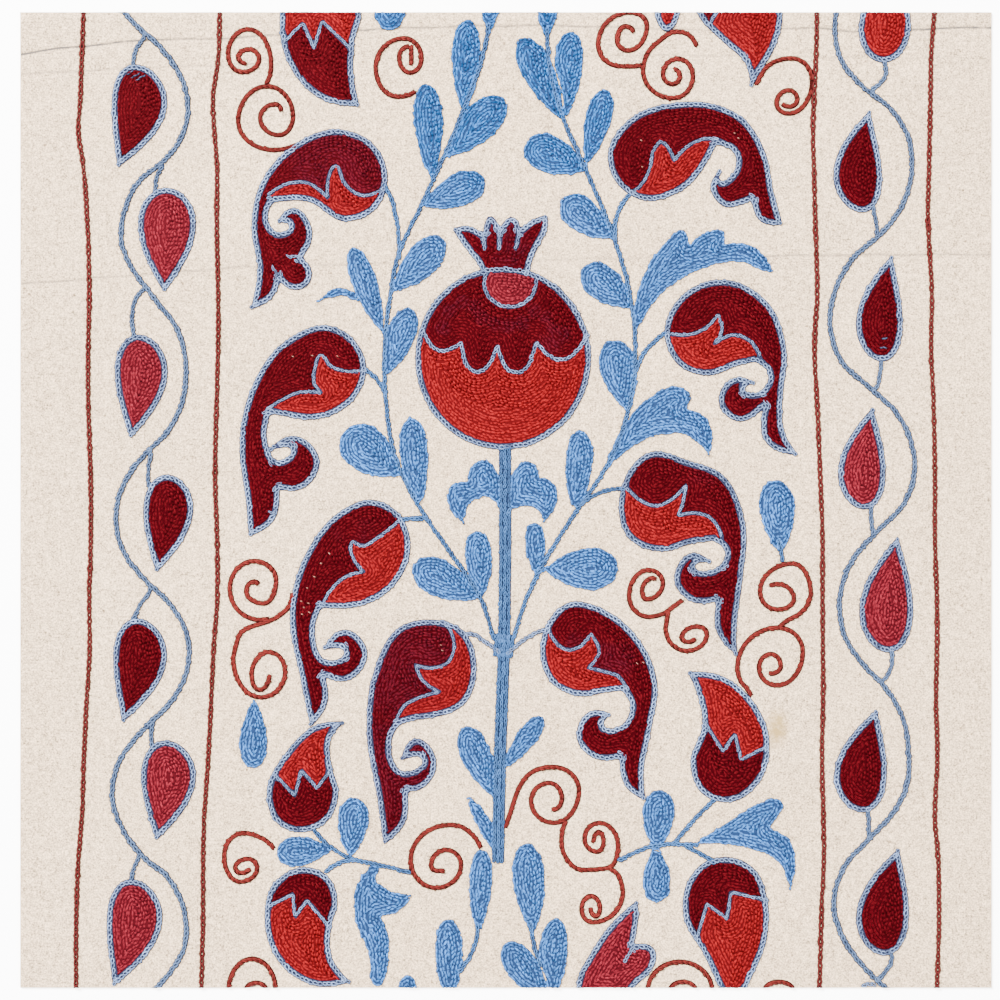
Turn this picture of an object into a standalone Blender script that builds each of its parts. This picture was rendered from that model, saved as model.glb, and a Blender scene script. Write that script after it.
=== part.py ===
"""A cut length of suzani cloth: ivory cotton, hand embroidered in silk chain stitch.

The cloth lies flat on its back, +Z out of its face and +Y to its top edge. Each stitched motif is
a low pad of silk that stands on the cloth. The pattern is a traditional one: a pomegranate over a
stem, curled paisleys and buds on two branches, loose scrolls between them, and a border of drops
on a wavy vine down each side.

The pattern is drawn by hand on a squared chart. Its columns count to the right and its rows count
down, and one step of the chart is STEP on the cloth.
"""

import math

import bmesh
import bpy
import numpy as np
from mathutils.geometry import delaunay_2d_cdt

# Driving sizes, in metres.
CLOTH_WIDTH = 0.4374
CLOTH_HEIGHT = 0.4392
CLOTH_THICK = 0.001
PAD_THICK = 0.0008
CLEARANCE = 0.0003
STEP = 0.00045

# The chart: the column and row at the cloth's middle.
MID_COLUMN = 506
MID_ROW = 500
HALF_COLUMNS = CLOTH_WIDTH / STEP / 2
HALF_ROWS = CLOTH_HEIGHT / STEP / 2

# Widths of the stitched lines and the spacing of outline points, in chart steps.
BORDER_LINE = 4.6
VINE_LINE = 6.2
STALK_LINE = 5.2
SCROLL_LINE = 4.6
OUTLINE_SPACING = 20
STEM_SPACING = 26
BORDER_SPACING = 80
BEND_STEP = math.radians(28)  # a curve that bends more than this gets another point
SCROLL_ARC = 4  # straight pieces in each quarter turn of a scroll
LEAD_SPACING = 9  # between the outline points of a scroll's lead-in
BLUNT = 0.35  # how far a line's end stands out, as a share of its width
APART = 0.85  # bare cloth left between two motifs that meet
BELLY = 0.66  # how far along a drop or leaf is widest

# The folds pressed into the cloth, as soft troughs: column, row and depth in millimetres.
CREASES = (
    ((20, 54, 0.30), (153, 39, 0.22), (250, 38, 0.30), (456, 27, 0.18), (554, 25, 0.25),
     (700, 31, 0.10), (852, 32, 0.28), (992, 29, 0.20)),
    ((20, 74, 0.16), (150, 67, 0.12), (420, 60, 0.02), (650, 55, 0.10), (992, 58, 0.05)),
    ((20, 284, 0.20), (239, 267, 0.14), (500, 260, 0.06), (819, 255, 0.18), (992, 254, 0.15)),
)
CREASE_HALF = 7  # half the width of a trough, in chart steps
CLOTH_COLUMNS = 26

# Border lines: where each line stands at these rows; they were sewn by eye and waver.
BORDER_ROWS = (8, 60, 100, 128, 170, 210, 300, 345, 400, 480, 540, 600, 650, 700, 760, 820, 855,
               900, 992)
BORDER_LINES = (
    ("border_line_1", (83.5, 81.5, 80, 78, 83.5, 86.5, 89, 88, 88, 90.5, 90.5, 89, 89.5, 86.5,
                       83.5, 81.5, 78.5, 76.5, 76)),
    ("border_line_2", (219.5, 218, 212.5, 214, 217, 216.5, 218, 218, 216.5, 215, 217, 217, 213.5,
                       211, 208, 204, 203, 203, 201)),
    ("border_line_3", (817, 816, 814, 813, 814, 815, 817, 814.5, 817, 820.5, 822.5, 822.5, 823,
                       823, 822, 823.5, 824, 822, 819.5)),
    ("border_line_4", (935, 931, 930.5, 930, 929, 928, 932, 931, 933.5, 935, 935, 937, 937, 936,
                       937.5, 935, 938, 939, 937)),
)

# The two wavy vines, from the top edge to the bottom edge.
VINES = (
    ("vine_left", (
        (119, 6), (134, 23), (161, 48), (182, 79), (188, 109), (179, 142), (160, 164),
        (139, 181), (124, 213), (121, 240), (133, 270), (155, 299), (179, 333), (186, 369),
        (182, 402), (169, 430), (145, 454), (124, 483), (116, 514), (122, 549), (143, 578),
        (170, 604), (187, 635), (186, 674), (169, 704), (143, 730), (120, 760), (112, 797),
        (124, 832), (142, 856), (168, 878), (184, 911), (185, 945), (168, 975), (152, 993))),
    ("vine_right", (
        (837, 6), (835, 30), (840, 57), (861, 85), (889, 107), (908, 136), (912, 171),
        (902, 206), (882, 233), (854, 257), (835, 291), (830, 323), (841, 360), (868, 386),
        (897, 413), (913, 449), (915, 470), (905, 502), (876, 533), (854, 558), (841, 590),
        (843, 631), (861, 662), (885, 687), (904, 721), (909, 760), (908, 781), (894, 812),
        (869, 839), (844, 868), (834, 906), (843, 938), (864, 967), (893, 994))),
)
# Drops: the point, the round end, the width, the bend to the right, and the stalk to the vine.
DROPS = (
    ("drop_left_1", (117, 167), (139, 65), 55, 9, ((133, 70), (136, 48), (145, 34))),
    ("drop_left_2", (164, 292), (167, 188), 57, 1, ((155, 194), (156, 178), (161, 164))),
    ("drop_left_3", (130, 438), (140, 335), 52, 5, ((134, 338), (132, 313), (135, 299), (144, 284))),
    ("drop_left_4", (156, 572), (169, 475), 49, 4, ((152, 482), (150, 464), (153, 449))),
    ("drop_left_5", (122, 722), (140, 619), 53, 7, ((133, 624), (141, 603), (151, 586))),
    ("drop_left_6", (156, 840), (168, 741), 54, 5, ((153, 748), (151, 736), (153, 721))),
    ("drop_left_7", (113, 986), (135, 880), 55, 8, ((131, 886), (133, 870), (142, 855))),
    ("drop_right_1", (890, -40), (882, 62), 51, 0, ((883, 56), (885, 78), (872, 93))),
    ("drop_right_2", (870, 111), (861, 212), 48, -7, ((873, 206), (876, 222), (877, 237))),
    ("drop_right_3", (892, 256), (881, 361), 46, -6, ((881, 356), (880, 374), (874, 390))),
    ("drop_right_4", (873, 408), (863, 509), 47, -5, ((872, 504), (871, 520), (872, 537))),
    ("drop_right_5", (898, 537), (887, 652), 53, -5, ((891, 647), (892, 664), (882, 681))),
    ("drop_right_6", (877, 710), (860, 812), 52, -6, ((867, 807), (869, 818), (869, 834))),
    ("drop_right_7", (899, 849), (882, 955), 52, -6, ((886, 950), (888, 966), (879, 979))),
)

# Paisleys: the places round the outline of each, from the tip of its tail up the back.
PAISLEY_PLACES = (
    "tail", "heel", "waist", "back", "shoulder", "crown", "brow", "head", "cheek", "chin",
    "throat", "neck", "nape", "cup", "hollow", "hook_tip", "hook_top", "hook_side", "hook_foot",
    "crotch", "tail_side",
)
PAISLEY_CORNERS = ("tail", "neck", "hook_tip", "crotch")
PAISLEYS = (
    ("paisley_left_1", (
        (251, 309), (258, 271), (252, 229), (258, 190), (284, 153), (342, 130), (372, 143),
        (387, 180), (376, 208), (345, 221), (308, 201), (272, 202), (267, 218), (279, 233),
        (290, 226), (277, 222), (292, 208), (312, 235), (302, 257), (280, 278), (273, 296))),
    ("paisley_left_2", (
        (249, 536), (246, 498), (240, 450), (249, 395), (286, 341), (330, 326), (351, 337),
        (366, 370), (351, 402), (315, 419), (286, 416), (268, 413), (263, 435), (279, 461),
        (292, 451), (269, 450), (292, 436), (319, 460), (301, 489), (279, 489), (273, 521))),
    ("paisley_left_3", (
        (311, 726), (302, 684), (291, 604), (307, 552), (340, 512), (372, 500), (396, 511),
        (410, 545), (396, 583), (346, 608), (334, 608), (321, 607), (314, 632), (328, 661),
        (345, 653), (323, 649), (344, 630), (367, 652), (345, 681), (324, 676), (327, 702))),
    ("paisley_left_4", (
        (384, 844), (378, 800), (367, 728), (374, 672), (402, 626), (432, 620), (462, 630),
        (476, 665), (464, 704), (428, 718), (412, 720), (398, 725), (390, 746), (404, 772),
        (423, 760), (401, 760), (415, 739), (436, 762), (418, 790), (407, 791), (404, 824))),
    ("paisley_right_1", (
        (782, 224), (774, 196), (764, 150), (744, 119), (712, 104), (676, 103), (630, 119),
        (608, 156), (618, 184), (645, 200), (680, 191), (716, 144), (738, 152), (734, 176),
        (720, 181), (721, 169), (711, 186), (727, 207), (744, 203), (752, 200), (762, 222))),
    ("paisley_right_2", (
        (798, 455), (784, 432), (782, 402), (786, 350), (768, 303), (722, 280), (684, 294),
        (665, 333), (679, 365), (708, 375), (738, 365), (758, 360), (773, 374), (758, 396),
        (743, 390), (756, 383), (734, 378), (719, 402), (738, 421), (760, 416), (767, 445))),
    ("paisley_right_3", (
        (737, 655), (733, 632), (741, 580), (745, 525), (720, 473), (688, 461), (652, 452),
        (620, 496), (630, 539), (663, 551), (692, 543), (714, 540), (728, 552), (710, 571),
        (694, 567), (711, 562), (694, 553), (675, 582), (694, 602), (717, 601), (717, 632))),
    ("paisley_right_4", (
        (645, 800), (643, 776), (651, 728), (657, 684), (636, 636), (602, 609), (572, 602),
        (541, 643), (552, 683), (581, 696), (605, 692), (625, 690), (634, 706), (618, 729),
        (603, 726), (611, 714), (592, 711), (577, 738), (597, 759), (620, 758), (627, 788))),
)

# A second lobe under the hook of one paisley: root, round end and width.
TAIL_LOBES = {"paisley_left_1": ((268, 251), (308, 284), 32)}

# Buds: the outline of each from its tip round.
BUD_PLACES = ("tip", "brow", "back", "side", "hip", "foot", "haunch", "flank", "waist", "nape")
BUDS = (
    ("bud_left_1", (
        (344, 722), (320, 724), (286, 753), (267, 797), (277, 823), (300, 832), (326, 822),
        (338, 795), (330, 762), (331, 737))),
    ("bud_left_2", (
        (350, 982), (331, 957), (331, 925), (337, 902), (328, 877), (301, 868), (273, 885),
        (265, 918), (280, 963), (318, 986))),
    ("bud_right_1", (
        (688, 672), (718, 675), (750, 698), (769, 741), (757, 785), (729, 802), (702, 793),
        (691, 764), (703, 724), (698, 694))),
    ("bud_right_2", (
        (731, 1016), (703, 952), (685, 920), (688, 882), (706, 862), (731, 858), (754, 869),
        (766, 895), (767, 935), (748, 984))),
    ("bud_top_left", (
        (359, 106), (353, 75), (354, 40), (361, 10), (345, -20), (318, -32), (290, -18),
        (280, 20), (291, 68), (322, 99))),
    ("bud_top_right", (
        (751, 87), (746, 63), (724, 42), (696, 10), (692, -20), (730, -44), (768, -26),
        (782, 8), (774, 48), (761, 70))),
)
SMALL_BUD = ("bud_top_middle", (667, -62), (667, 31), 27, 0)

# The fruit: an oval body under a crown of four spikes.
FRUIT_MIDDLE = (503, 358)
FRUIT_HALF = (87.5, 91)

# Lobed shapes: the outline of each from its base round, with the corners marked True. They are the
# crown of the fruit, the forked bud at the bottom edge and the lobed leaves.
LOBED = {
    "crown": (
        (478, 272, True), (469, 254, False), (460, 240, False), (453, 229, True),
        (467, 226, False), (483, 234, True), (485, 225, False), (490, 216, False),
        (496, 221, False), (500, 229, True), (505, 221, False), (512, 217, False),
        (518, 222, False), (520, 230, True), (532, 220, False), (547, 215, True),
        (547, 228, False), (537, 248, False), (531, 262, False), (533, 275, True)),
    "bud_bottom": (
        (637, 901, True), (638, 914, False), (633, 945, True), (642, 944, False),
        (652, 947, False), (656, 958, False), (650, 972, False), (634, 987, False),
        (628, 1000, True), (576, 1000, True), (578, 979, False), (592, 952, False),
        (611, 925, False)),
    "wing_upper": (
        (634, 332, True), (645, 275, False), (666, 242, False), (684, 229, False),
        (689, 245, True), (708, 231, False), (724, 231, False), (723, 245, True),
        (746, 243, False), (773, 272, True), (741, 262, False), (700, 270, False),
        (653, 301, False)),
    "wing_lower": (
        (603, 473, True), (621, 430, False), (650, 397, False), (677, 386, False),
        (691, 397, False), (686, 409, True), (704, 415, False), (713, 440, False),
        (709, 456, True), (688, 436, False), (655, 436, False), (622, 455, False)),
    "wing_sprig": (
        (692, 845, True), (732, 819, False), (764, 801, False), (780, 799, False),
        (770, 828, True), (788, 838, False), (796, 864, False), (790, 890, True),
        (776, 860, False), (742, 847, False)),
    "tongue": (
        (317, 302, True), (326, 293, False), (336, 287, False), (349, 289, False),
        (368, 308, True), (352, 299, False), (340, 296, False), (329, 298, False)),
    "bird": (
        (380, 866, True), (358, 886, False), (354, 915, False), (369, 955, False),
        (376, 987, False), (389, 953, False), (389, 935, False), (380, 917, True),
        (401, 910, False), (411, 895, True), (388, 890, False), (371, 880, False)),
    "palm_left": (
        (502, 482, True), (481, 459, False), (469, 470, False), (468, 482, True),
        (452, 484, False), (448, 505, False), (464, 524, True), (470, 503, False),
        (486, 497, False), (502, 514, True)),
    "palm_right": (
        (507, 482, True), (530, 461, False), (538, 468, False), (538, 477, True),
        (553, 482, False), (557, 503, False), (544, 523, True), (537, 510, False),
        (520, 507, False), (507, 514, True)),
}

# Stems with their leaves: name, then stems of (line width, points), then leaves of
# (base, round tip, width), then the lobed leaves that grow from it.
STEMS = (
    ("stem", (
        (12, ((505, 454), (504, 640), (500, 760), (498, 862))),
        (22, ((505, 634), (504, 646), (503, 656)))),
        (((497, 800), (463, 727), 31), ((502, 770), (543, 716), 21), ((494, 850), (469, 798), 12)),
        ("palm_left", "palm_right")),
    ("branch_left", (
        (STALK_LINE, ((494, 640), (482, 602), (447, 548), (418, 505), (394, 454), (386, 403),
                      (384, 360), (389, 303), (398, 255), (420, 208), (443, 158), (464, 108),
                      (481, 62), (489, 24))),
        (STALK_LINE, ((389, 191), (397, 222), (399, 258))),
        (STALK_LINE, ((367, 370), (376, 378), (386, 396))),
        (STALK_LINE, ((405, 519), (427, 518)))),
        (((464, 112), (468, 19), 28), ((444, 158), (504, 99), 36), ((432, 180), (428, 83), 30),
         ((421, 206), (485, 179), 34), ((392, 292), (443, 238), 34), ((383, 334), (352, 247), 26),
         ((384, 378), (411, 308), 30), ((402, 476), (343, 432), 46), ((419, 506), (413, 417), 29),
         ((482, 599), (413, 565), 38), ((481, 601), (477, 530), 28), ((489, 34), (492, -46), 27)),
        ("tongue",)),
    ("branch_right", (
        (STALK_LINE, ((513, 640), (529, 592), (545, 561), (577, 510), (608, 464), (624, 425),
                      (633, 385), (635, 340), (629, 290), (613, 235), (584, 166), (563, 118),
                      (549, 66), (547, 28))),
        (STALK_LINE, ((628, 197), (617, 215), (615, 240))),
        (STALK_LINE, ((664, 333), (645, 352), (634, 376))),
        (STALK_LINE, ((620, 489), (602, 492), (578, 506)))),
        (((563, 120), (521, 38), 33), ((564, 120), (571, 31), 30), ((586, 166), (606, 89), 27),
         ((588, 170), (525, 144), 39), ((613, 239), (562, 199), 35), ((633, 308), (583, 267), 36),
         ((628, 412), (614, 340), 38), ((577, 510), (581, 430), 29), ((538, 580), (535, 524), 21),
         ((544, 570), (618, 568), 43), ((547, 40), (548, -40), 28)),
        ("wing_upper", "wing_lower")),
    ("sprig_left", (
        (STALK_LINE, ((313, 829), (330, 847), (350, 858), (380, 865), (409, 872))),
        (STALK_LINE, ((325, 873), (338, 863), (358, 860)))),
        (((332, 849), (276, 853), 31), ((350, 858), (355, 797), 31)),
        ("bird",)),
    ("sprig_right", (
        (STALK_LINE, ((618, 861), (650, 847), (698, 845))),
        (STALK_LINE, ((672, 846), (694, 820), (714, 800))),
        (STALK_LINE, ((684, 845), (699, 853), (714, 862)))),
        (((656, 852), (660, 790), 33), ((656, 845), (657, 903), 28)),
        ("wing_sprig",)),
    ("sprig_bottom_left", (
        (STALK_LINE, ((478, 924), (475, 945), (460, 972))),),
        (((478, 936), (482, 849), 24), ((450, 1006), (448, 919), 28)),
        ()),
    ("sprig_bottom_right", (
        (STALK_LINE, ((531, 922), (533, 942), (541, 966))),),
        (((532, 936), (527, 843), 33), ((549, 1004), (505, 943), 33), ((545, 1016), (557, 918), 30)),
        ()),
    ("leaf_left", (), (((254, 699), (253, 769), 29),), ()),
    ("leaf_right", (
        (STALK_LINE, ((779, 540), (783, 560))),),
        (((781, 555), (775, 480), 36),),
        ()),
    ("leaf_top", (), (((391, -50), (389, 31), 34),), ()),
    ("leaf_bottom", (), (((408, 1046), (407, 975), 24),), ()),
)
LINK_STALKS = (
    ("paisley_left_4", ((458, 640), (470, 633), (484, 641), (500, 652))),
    ("paisley_right_4", ((546, 629), (530, 636), (508, 654))),
)

# Scrolls: each thread has the points it leads in through, and then its turns, with one quarter of
# an oval between each two. It runs upright and level by turns at them, upright first where True.
SCROLLS = (
    ("scroll_01", (
        (((266, 84), (270, 75)), True,
         ((271, 64), (248, 29), (228, 54), (242, 72), (259, 59), (249, 49), (238, 57),
          (245, 63))),
        (((296, 145), (288, 148)), False,
         ((274, 150), (238, 121), (267, 86), (293, 116), (279, 135), (260, 118), (275, 104),
          (281, 110))))),
    ("scroll_02", (
        (((415, 91), (411, 94)), False,
         ((397, 96.5), (375.5, 67), (404, 38), (421.5, 58), (410, 72.5), (399, 57), (409, 46))),
        (((411, 45), (411.3, 54)), False, ((411.2, 64),)))),
    ("scroll_03", (
        (((642, 65), (636, 66)), False,
         ((620, 66), (598, 44), (630, 12), (647, 25), (628, 50.5), (617, 40), (625, 26),
          (633, 31))),
        (((697, 46), (693.5, 39.5), (687, 33.5), (678, 31.5), (669, 33), (661, 39.5), (652, 47),
          (646, 56)), True,
         ((643, 70), (673, 98), (693, 76), (678, 58.5), (663, 74), (672.5, 84), (680, 76),
          (674, 69))))),
    ("scroll_04", (
        (((756, 84.5), (759.5, 77.5), (764.5, 69), (774.5, 61.5)), False,
         ((791, 58), (812.3, 80), (789, 113.5), (776.5, 103), (789, 90), (797.5, 99.5),
          (790, 106.5), (783, 104))),)),
    ("scroll_05", (
        (((269, 619),), False,
         ((260, 620), (229.5, 589), (254, 561), (276, 580), (264, 603.5), (246, 591.5),
          (254, 581.5), (258, 584))),
        (((292.5, 593), (290.5, 604), (283, 613), (268, 621.5), (253, 626), (241, 632),
          (236, 645)), True,
         ((233, 658), (261, 697.5), (285, 672), (269, 652), (251.5, 675), (259, 690),
          (269, 676))))),
    ("scroll_06", (
        (((274, 849), (270, 844), (261, 838), (253, 834.5)), False,
         ((244, 833), (224, 856), (240, 882), (257, 868), (248, 859), (235, 868), (240, 873),
          (249, 869.5))),)),
    ("scroll_07", (
        (((481, 848), (476, 839), (468, 831), (462, 827)), False,
         ((450, 825), (410.5, 860), (436, 888), (461, 865), (446, 850), (431, 865.5),
          (437, 871), (444, 871))),)),
    ("scroll_08", (
        (((505, 828), (510, 814), (514, 801), (519, 788), (527, 776), (537, 769.5)), False,
         ((553, 767), (579, 790), (554, 823), (531, 801), (549, 783), (562, 798), (553, 810))),
        (((566, 821), (562.5, 830), (561.5, 841), (563, 852), (568.5, 861.5), (577, 869),
          (588, 870)), False,
         ((608, 868), (618, 846), (599.5, 823), (584.5, 838.5), (597, 852), (603.5, 842),
          (599, 832), (593.5, 842))),
        (((608, 868), (615.5, 872), (620.5, 880)), True,
         ((623, 892), (593, 922.5), (581.5, 909.5), (591, 896), (600, 908), (596, 916.5),
          (590.5, 908))))),
    ("scroll_09", (
        (((682.5, 600), (673, 607), (664, 613.5)), False,
         ((649, 617), (629, 596), (649, 570), (663, 583), (646, 599.5), (642, 591),
          (654, 578))),
        (((668.5, 611), (667, 620)), True,
         ((665.5, 628), (687, 651), (707, 634), (698, 626.5), (681.5, 638), (689, 642),
          (694.5, 639))))),
    ("scroll_10", (
        (((779.5, 627), (788, 620), (798, 615), (805, 609)), True,
         ((811, 595), (793, 563.5), (760, 592), (778, 609.5), (794, 599), (778, 584),
          (771, 586))),
        (((751.5, 696), (747, 688.5), (741, 682)), True,
         ((737.3, 668), (778, 627.5), (803, 652), (777, 685.5), (759, 668), (771, 654),
          (781, 666), (770, 674))))),
)

COLOURS = {
    "ivory_cotton": ((0.78, 0.74, 0.66, 1), 0.92),
    "crimson_silk": ((0.22, 0.006, 0.012, 1), 0.5),
    "scarlet_silk": ((0.58, 0.03, 0.02, 1), 0.5),
    "rose_silk": ((0.48, 0.035, 0.055, 1), 0.5),
    "blue_silk": ((0.14, 0.33, 0.62, 1), 0.5),
    "brick_silk": ((0.42, 0.05, 0.03, 1), 0.55),
}
ROSE_DROPS = ("drop_left_2", "drop_left_3", "drop_left_6", "drop_left_7", "drop_right_4",
              "drop_right_5")


# Curves on the chart. A loop or a line is an array of (column, row) points.

def smooth(points, spacing, corners=(), closed=False):
    """A curve through the points, sharp at the indices in corners, about `spacing` between points."""
    places = [np.array(p, float) for p in points]
    count = len(places)
    out = []
    for i in range(count if closed else count - 1):
        start, end = places[i], places[(i + 1) % count]
        chord = np.linalg.norm(end - start)
        first = i in corners or (not closed and i == 0)
        last = (i + 1) % count in corners or (not closed and i == count - 2)
        leave = end - start if first else turn(places[i - 1], start, end, chord)
        arrive = end - start if last else turn(start, end, places[(i + 2) % count], chord)
        if first and not last:
            leave = 1.5 * (end - start) - 0.5 * arrive
        if last and not first:
            arrive = 1.5 * (end - start) - 0.5 * leave
        spread = np.dot(leave, arrive) / np.linalg.norm(leave) / np.linalg.norm(arrive)
        bend = math.acos(max(-1, min(1, spread)))
        pieces = max(1, round(chord / spacing), round(bend / BEND_STEP))
        for t in np.arange(pieces) / pieces:
            out.append(start * (1 + 2 * t) * (1 - t) ** 2 + leave * t * (1 - t) ** 2
                       + end * t * t * (3 - 2 * t) + arrive * t * t * (t - 1))
    if not closed:
        out.append(places[-1])
    return np.array(out)


def turn(before, here, after, chord):
    """The curve's direction at `here`, as long as the chord it leaves or meets."""
    back, ahead = np.linalg.norm(here - before), np.linalg.norm(after - here)
    way = (here - before) / back * ahead + (after - here) / ahead * back
    return way / max(np.linalg.norm(way), 1e-9) * chord


def band(line, width):
    """The loop round a line of the given width, with a blunt point at each end."""
    ways = np.gradient(line, axis=0)
    ways /= np.linalg.norm(ways, axis=1)[:, None]
    side = np.stack([-ways[:, 1], ways[:, 0]], axis=1) * width / 2
    first = line[:1] - ways[:1] * width * BLUNT
    last = line[-1:] + ways[-1:] * width * BLUNT
    return np.concatenate([first, line + side, last, (line - side)[::-1]])


def teardrop(point, round_end, width, bend=0, steps=7):
    """A drop or a leaf: pointed at one end, round at the other, bent to the right by `bend`."""
    point, round_end = np.array(point, float), np.array(round_end, float)
    along = round_end - point
    across = np.array([-along[1], along[0]]) / np.linalg.norm(along)
    rise = np.linspace(0, 1, steps)[1:-1]
    cap = np.sin(np.linspace(0, math.pi / 2, steps - 2))
    places = np.concatenate([rise * BELLY, BELLY + (1 - BELLY) * cap])
    half = np.where(places < BELLY, np.sin(math.pi / 2 * np.minimum(places / BELLY, 1)),
                    np.sqrt(np.maximum(0, 1 - ((places - BELLY) / (1 - BELLY)) ** 2))) * width / 2
    axis = point + places[:, None] * along
    axis[:, 0] += bend * np.sin(math.pi * places) ** 0.8
    right, left = axis + half[:, None] * across, axis - half[:, None] * across
    return np.concatenate([[point], right, left[:-1][::-1]])


def scroll(lead, upright, turns):
    """A thread's line: its lead-in, then one quarter of an oval between each two turns."""
    turns = [np.array(place, float) for place in turns]
    angles = np.linspace(0, math.pi / 2, SCROLL_ARC + 1)[:-1, None]
    out = [smooth([*lead, turns[0]], LEAD_SPACING)[:-1]]
    for start, end in zip(turns, turns[1:]):
        middle = np.array([end[0], start[1]] if upright else [start[0], end[1]])
        out.append(middle + (start - middle) * np.cos(angles) + (end - middle) * np.sin(angles))
        upright = not upright
    return np.concatenate([*out, turns[-1:]])


def oval(middle, half, steps=34):
    angle = np.linspace(0, 2 * math.pi, steps, endpoint=False)[:, None]
    return np.array(middle) + np.array(half) * np.concatenate([np.cos(angle), np.sin(angle)], 1)


# The motifs: each is a list of loops whose union is its outline.

def lobed_outline(shape):
    rows = LOBED[shape]
    sharp = tuple(i for i, row in enumerate(rows) if row[2])
    return smooth([row[:2] for row in rows], OUTLINE_SPACING, sharp, closed=True)


def motifs():
    """(name, colour, loops) of every stitched motif; a later one stops short of an earlier one."""
    corner = tuple(PAISLEY_PLACES.index(p) for p in PAISLEY_CORNERS)
    stalks = dict(LINK_STALKS)
    for name, places in PAISLEYS:
        loops = [smooth(places, OUTLINE_SPACING, corner, closed=True)]
        if name in TAIL_LOBES:
            loops.append(teardrop(*TAIL_LOBES[name]))
        if name in stalks:
            loops.append(band(smooth(stalks[name], STEM_SPACING), STALK_LINE))
        yield name, "crimson_silk", loops
    for name, places in BUDS:
        yield name, "scarlet_silk", [smooth(places, OUTLINE_SPACING, (0,), closed=True)]
    yield "bud_bottom", "rose_silk", [lobed_outline("bud_bottom")]
    name, *lobe = SMALL_BUD
    yield name, "scarlet_silk", [teardrop(*lobe)]
    for name, point, round_end, width, bend, stalk in DROPS:
        colour = "rose_silk" if name in ROSE_DROPS else "crimson_silk"
        colour = "scarlet_silk" if name == "drop_right_1" else colour
        yield name, colour, [teardrop(point, round_end, width, bend)]
    yield "pomegranate", "scarlet_silk", [oval(FRUIT_MIDDLE, FRUIT_HALF), lobed_outline("crown")]
    for name, lines, leaves, lobed in STEMS:
        loops = [band(smooth(points, STEM_SPACING), width) for width, points in lines]
        loops += [teardrop(*leaf, steps=6) for leaf in leaves]
        loops += [lobed_outline(leaf) for leaf in lobed]
        yield name, "blue_silk", loops
    for name, points in VINES:
        loops = [band(smooth(points, STEM_SPACING), VINE_LINE)]
        side = name.split("_")[1]
        for drop in DROPS:
            if side in drop[0]:
                loops.append(band(smooth(drop[5], STEM_SPACING), STALK_LINE))
        yield name, "blue_silk", loops
    for name, columns in BORDER_LINES:
        points = list(zip(columns, BORDER_ROWS))
        yield name, "brick_silk", [band(smooth(points, BORDER_SPACING), BORDER_LINE)]
    for name, threads in SCROLLS:
        yield name, "brick_silk", [band(scroll(*thread), SCROLL_LINE) for thread in threads]


def within(points, loop):
    """Which of the points lie inside a loop, counted by how often it winds round them."""
    turns = np.zeros(len(points), int)
    x, y = points[:, 0], points[:, 1]
    for (ax, ay), (bx, by) in zip(loop, np.roll(loop, -1, axis=0)):
        side = (bx - ax) * (y - ay) - (x - ax) * (by - ay)
        turns += ((ay <= y) & (by > y) & (side > 0)).astype(int)
        turns -= ((ay > y) & (by <= y) & (side < 0)).astype(int)
    return turns != 0


def grown(loop, by):
    """The loop moved outwards, as room to keep between two motifs."""
    before, after = loop - np.roll(loop, 1, axis=0), np.roll(loop, -1, axis=0) - loop
    area = np.sum(loop[:, 0] * np.roll(loop[:, 1], -1) - np.roll(loop[:, 0], -1) * loop[:, 1])
    before /= np.maximum(np.linalg.norm(before, axis=1), 1e-9)[:, None]
    after /= np.maximum(np.linalg.norm(after, axis=1), 1e-9)[:, None]
    way = before + after
    way /= np.maximum(np.linalg.norm(way, axis=1), 1e-9)[:, None]
    out = np.stack([way[:, 1], -way[:, 0]], axis=1) * np.sign(area)
    spread = 1 / np.maximum(np.abs(np.sum(way * before, axis=1)), 0.35)
    return loop + out * by * spread[:, None]


def near(loop, other, reach):
    return np.all(loop.min(0) - reach < other.max(0)) and np.all(other.min(0) - reach < loop.max(0))


def region(loops, cuts):
    """Triangles of the union of the loops on the cloth, less the cuts; the largest piece of it."""
    edge = np.array([(MID_COLUMN - HALF_COLUMNS, MID_ROW - HALF_ROWS),
                     (MID_COLUMN + HALF_COLUMNS, MID_ROW - HALF_ROWS),
                     (MID_COLUMN + HALF_COLUMNS, MID_ROW + HALF_ROWS),
                     (MID_COLUMN - HALF_COLUMNS, MID_ROW + HALF_ROWS)])
    points, edges = [], []
    for loop in [*loops, *cuts, edge]:
        start = len(points)
        points += [tuple(p) for p in loop]
        edges += [(start + i, start + (i + 1) % len(loop)) for i in range(len(loop))]
    corners, _, faces, *_ = delaunay_2d_cdt(points, edges, [], 0, 0.05)
    corners, faces = np.array(corners), np.array(faces)
    middles = corners[faces].mean(axis=1)
    keep = within(middles, edge) & np.any([within(middles, loop) for loop in loops], axis=0)
    for cut in cuts:
        keep &= ~within(middles, cut)
    return corners, largest(faces[keep])


def largest(faces):
    """The biggest set of faces that hang together along their edges."""
    owner = {}
    group = list(range(len(faces)))

    def root(i):
        while group[i] != i:
            i = group[i]
        return i

    for i, face in enumerate(faces):
        for a, b in zip(face, np.roll(face, -1)):
            key = (min(a, b), max(a, b))
            if key in owner:
                group[root(i)] = root(owner[key])
            owner[key] = i
    roots = [root(i) for i in range(len(faces))]
    best = max(set(roots), key=roots.count)
    return faces[[r == best for r in roots]]


# Building.

def material(slot):
    colour, roughness = COLOURS[slot]
    made = bpy.data.materials.get(slot) or bpy.data.materials.new(slot)
    made.use_nodes = True
    shader = made.node_tree.nodes["Principled BSDF"]
    shader.inputs["Base Color"].default_value = colour
    shader.inputs["Roughness"].default_value = roughness
    shader.inputs["Metallic"].default_value = 0
    return made


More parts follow.
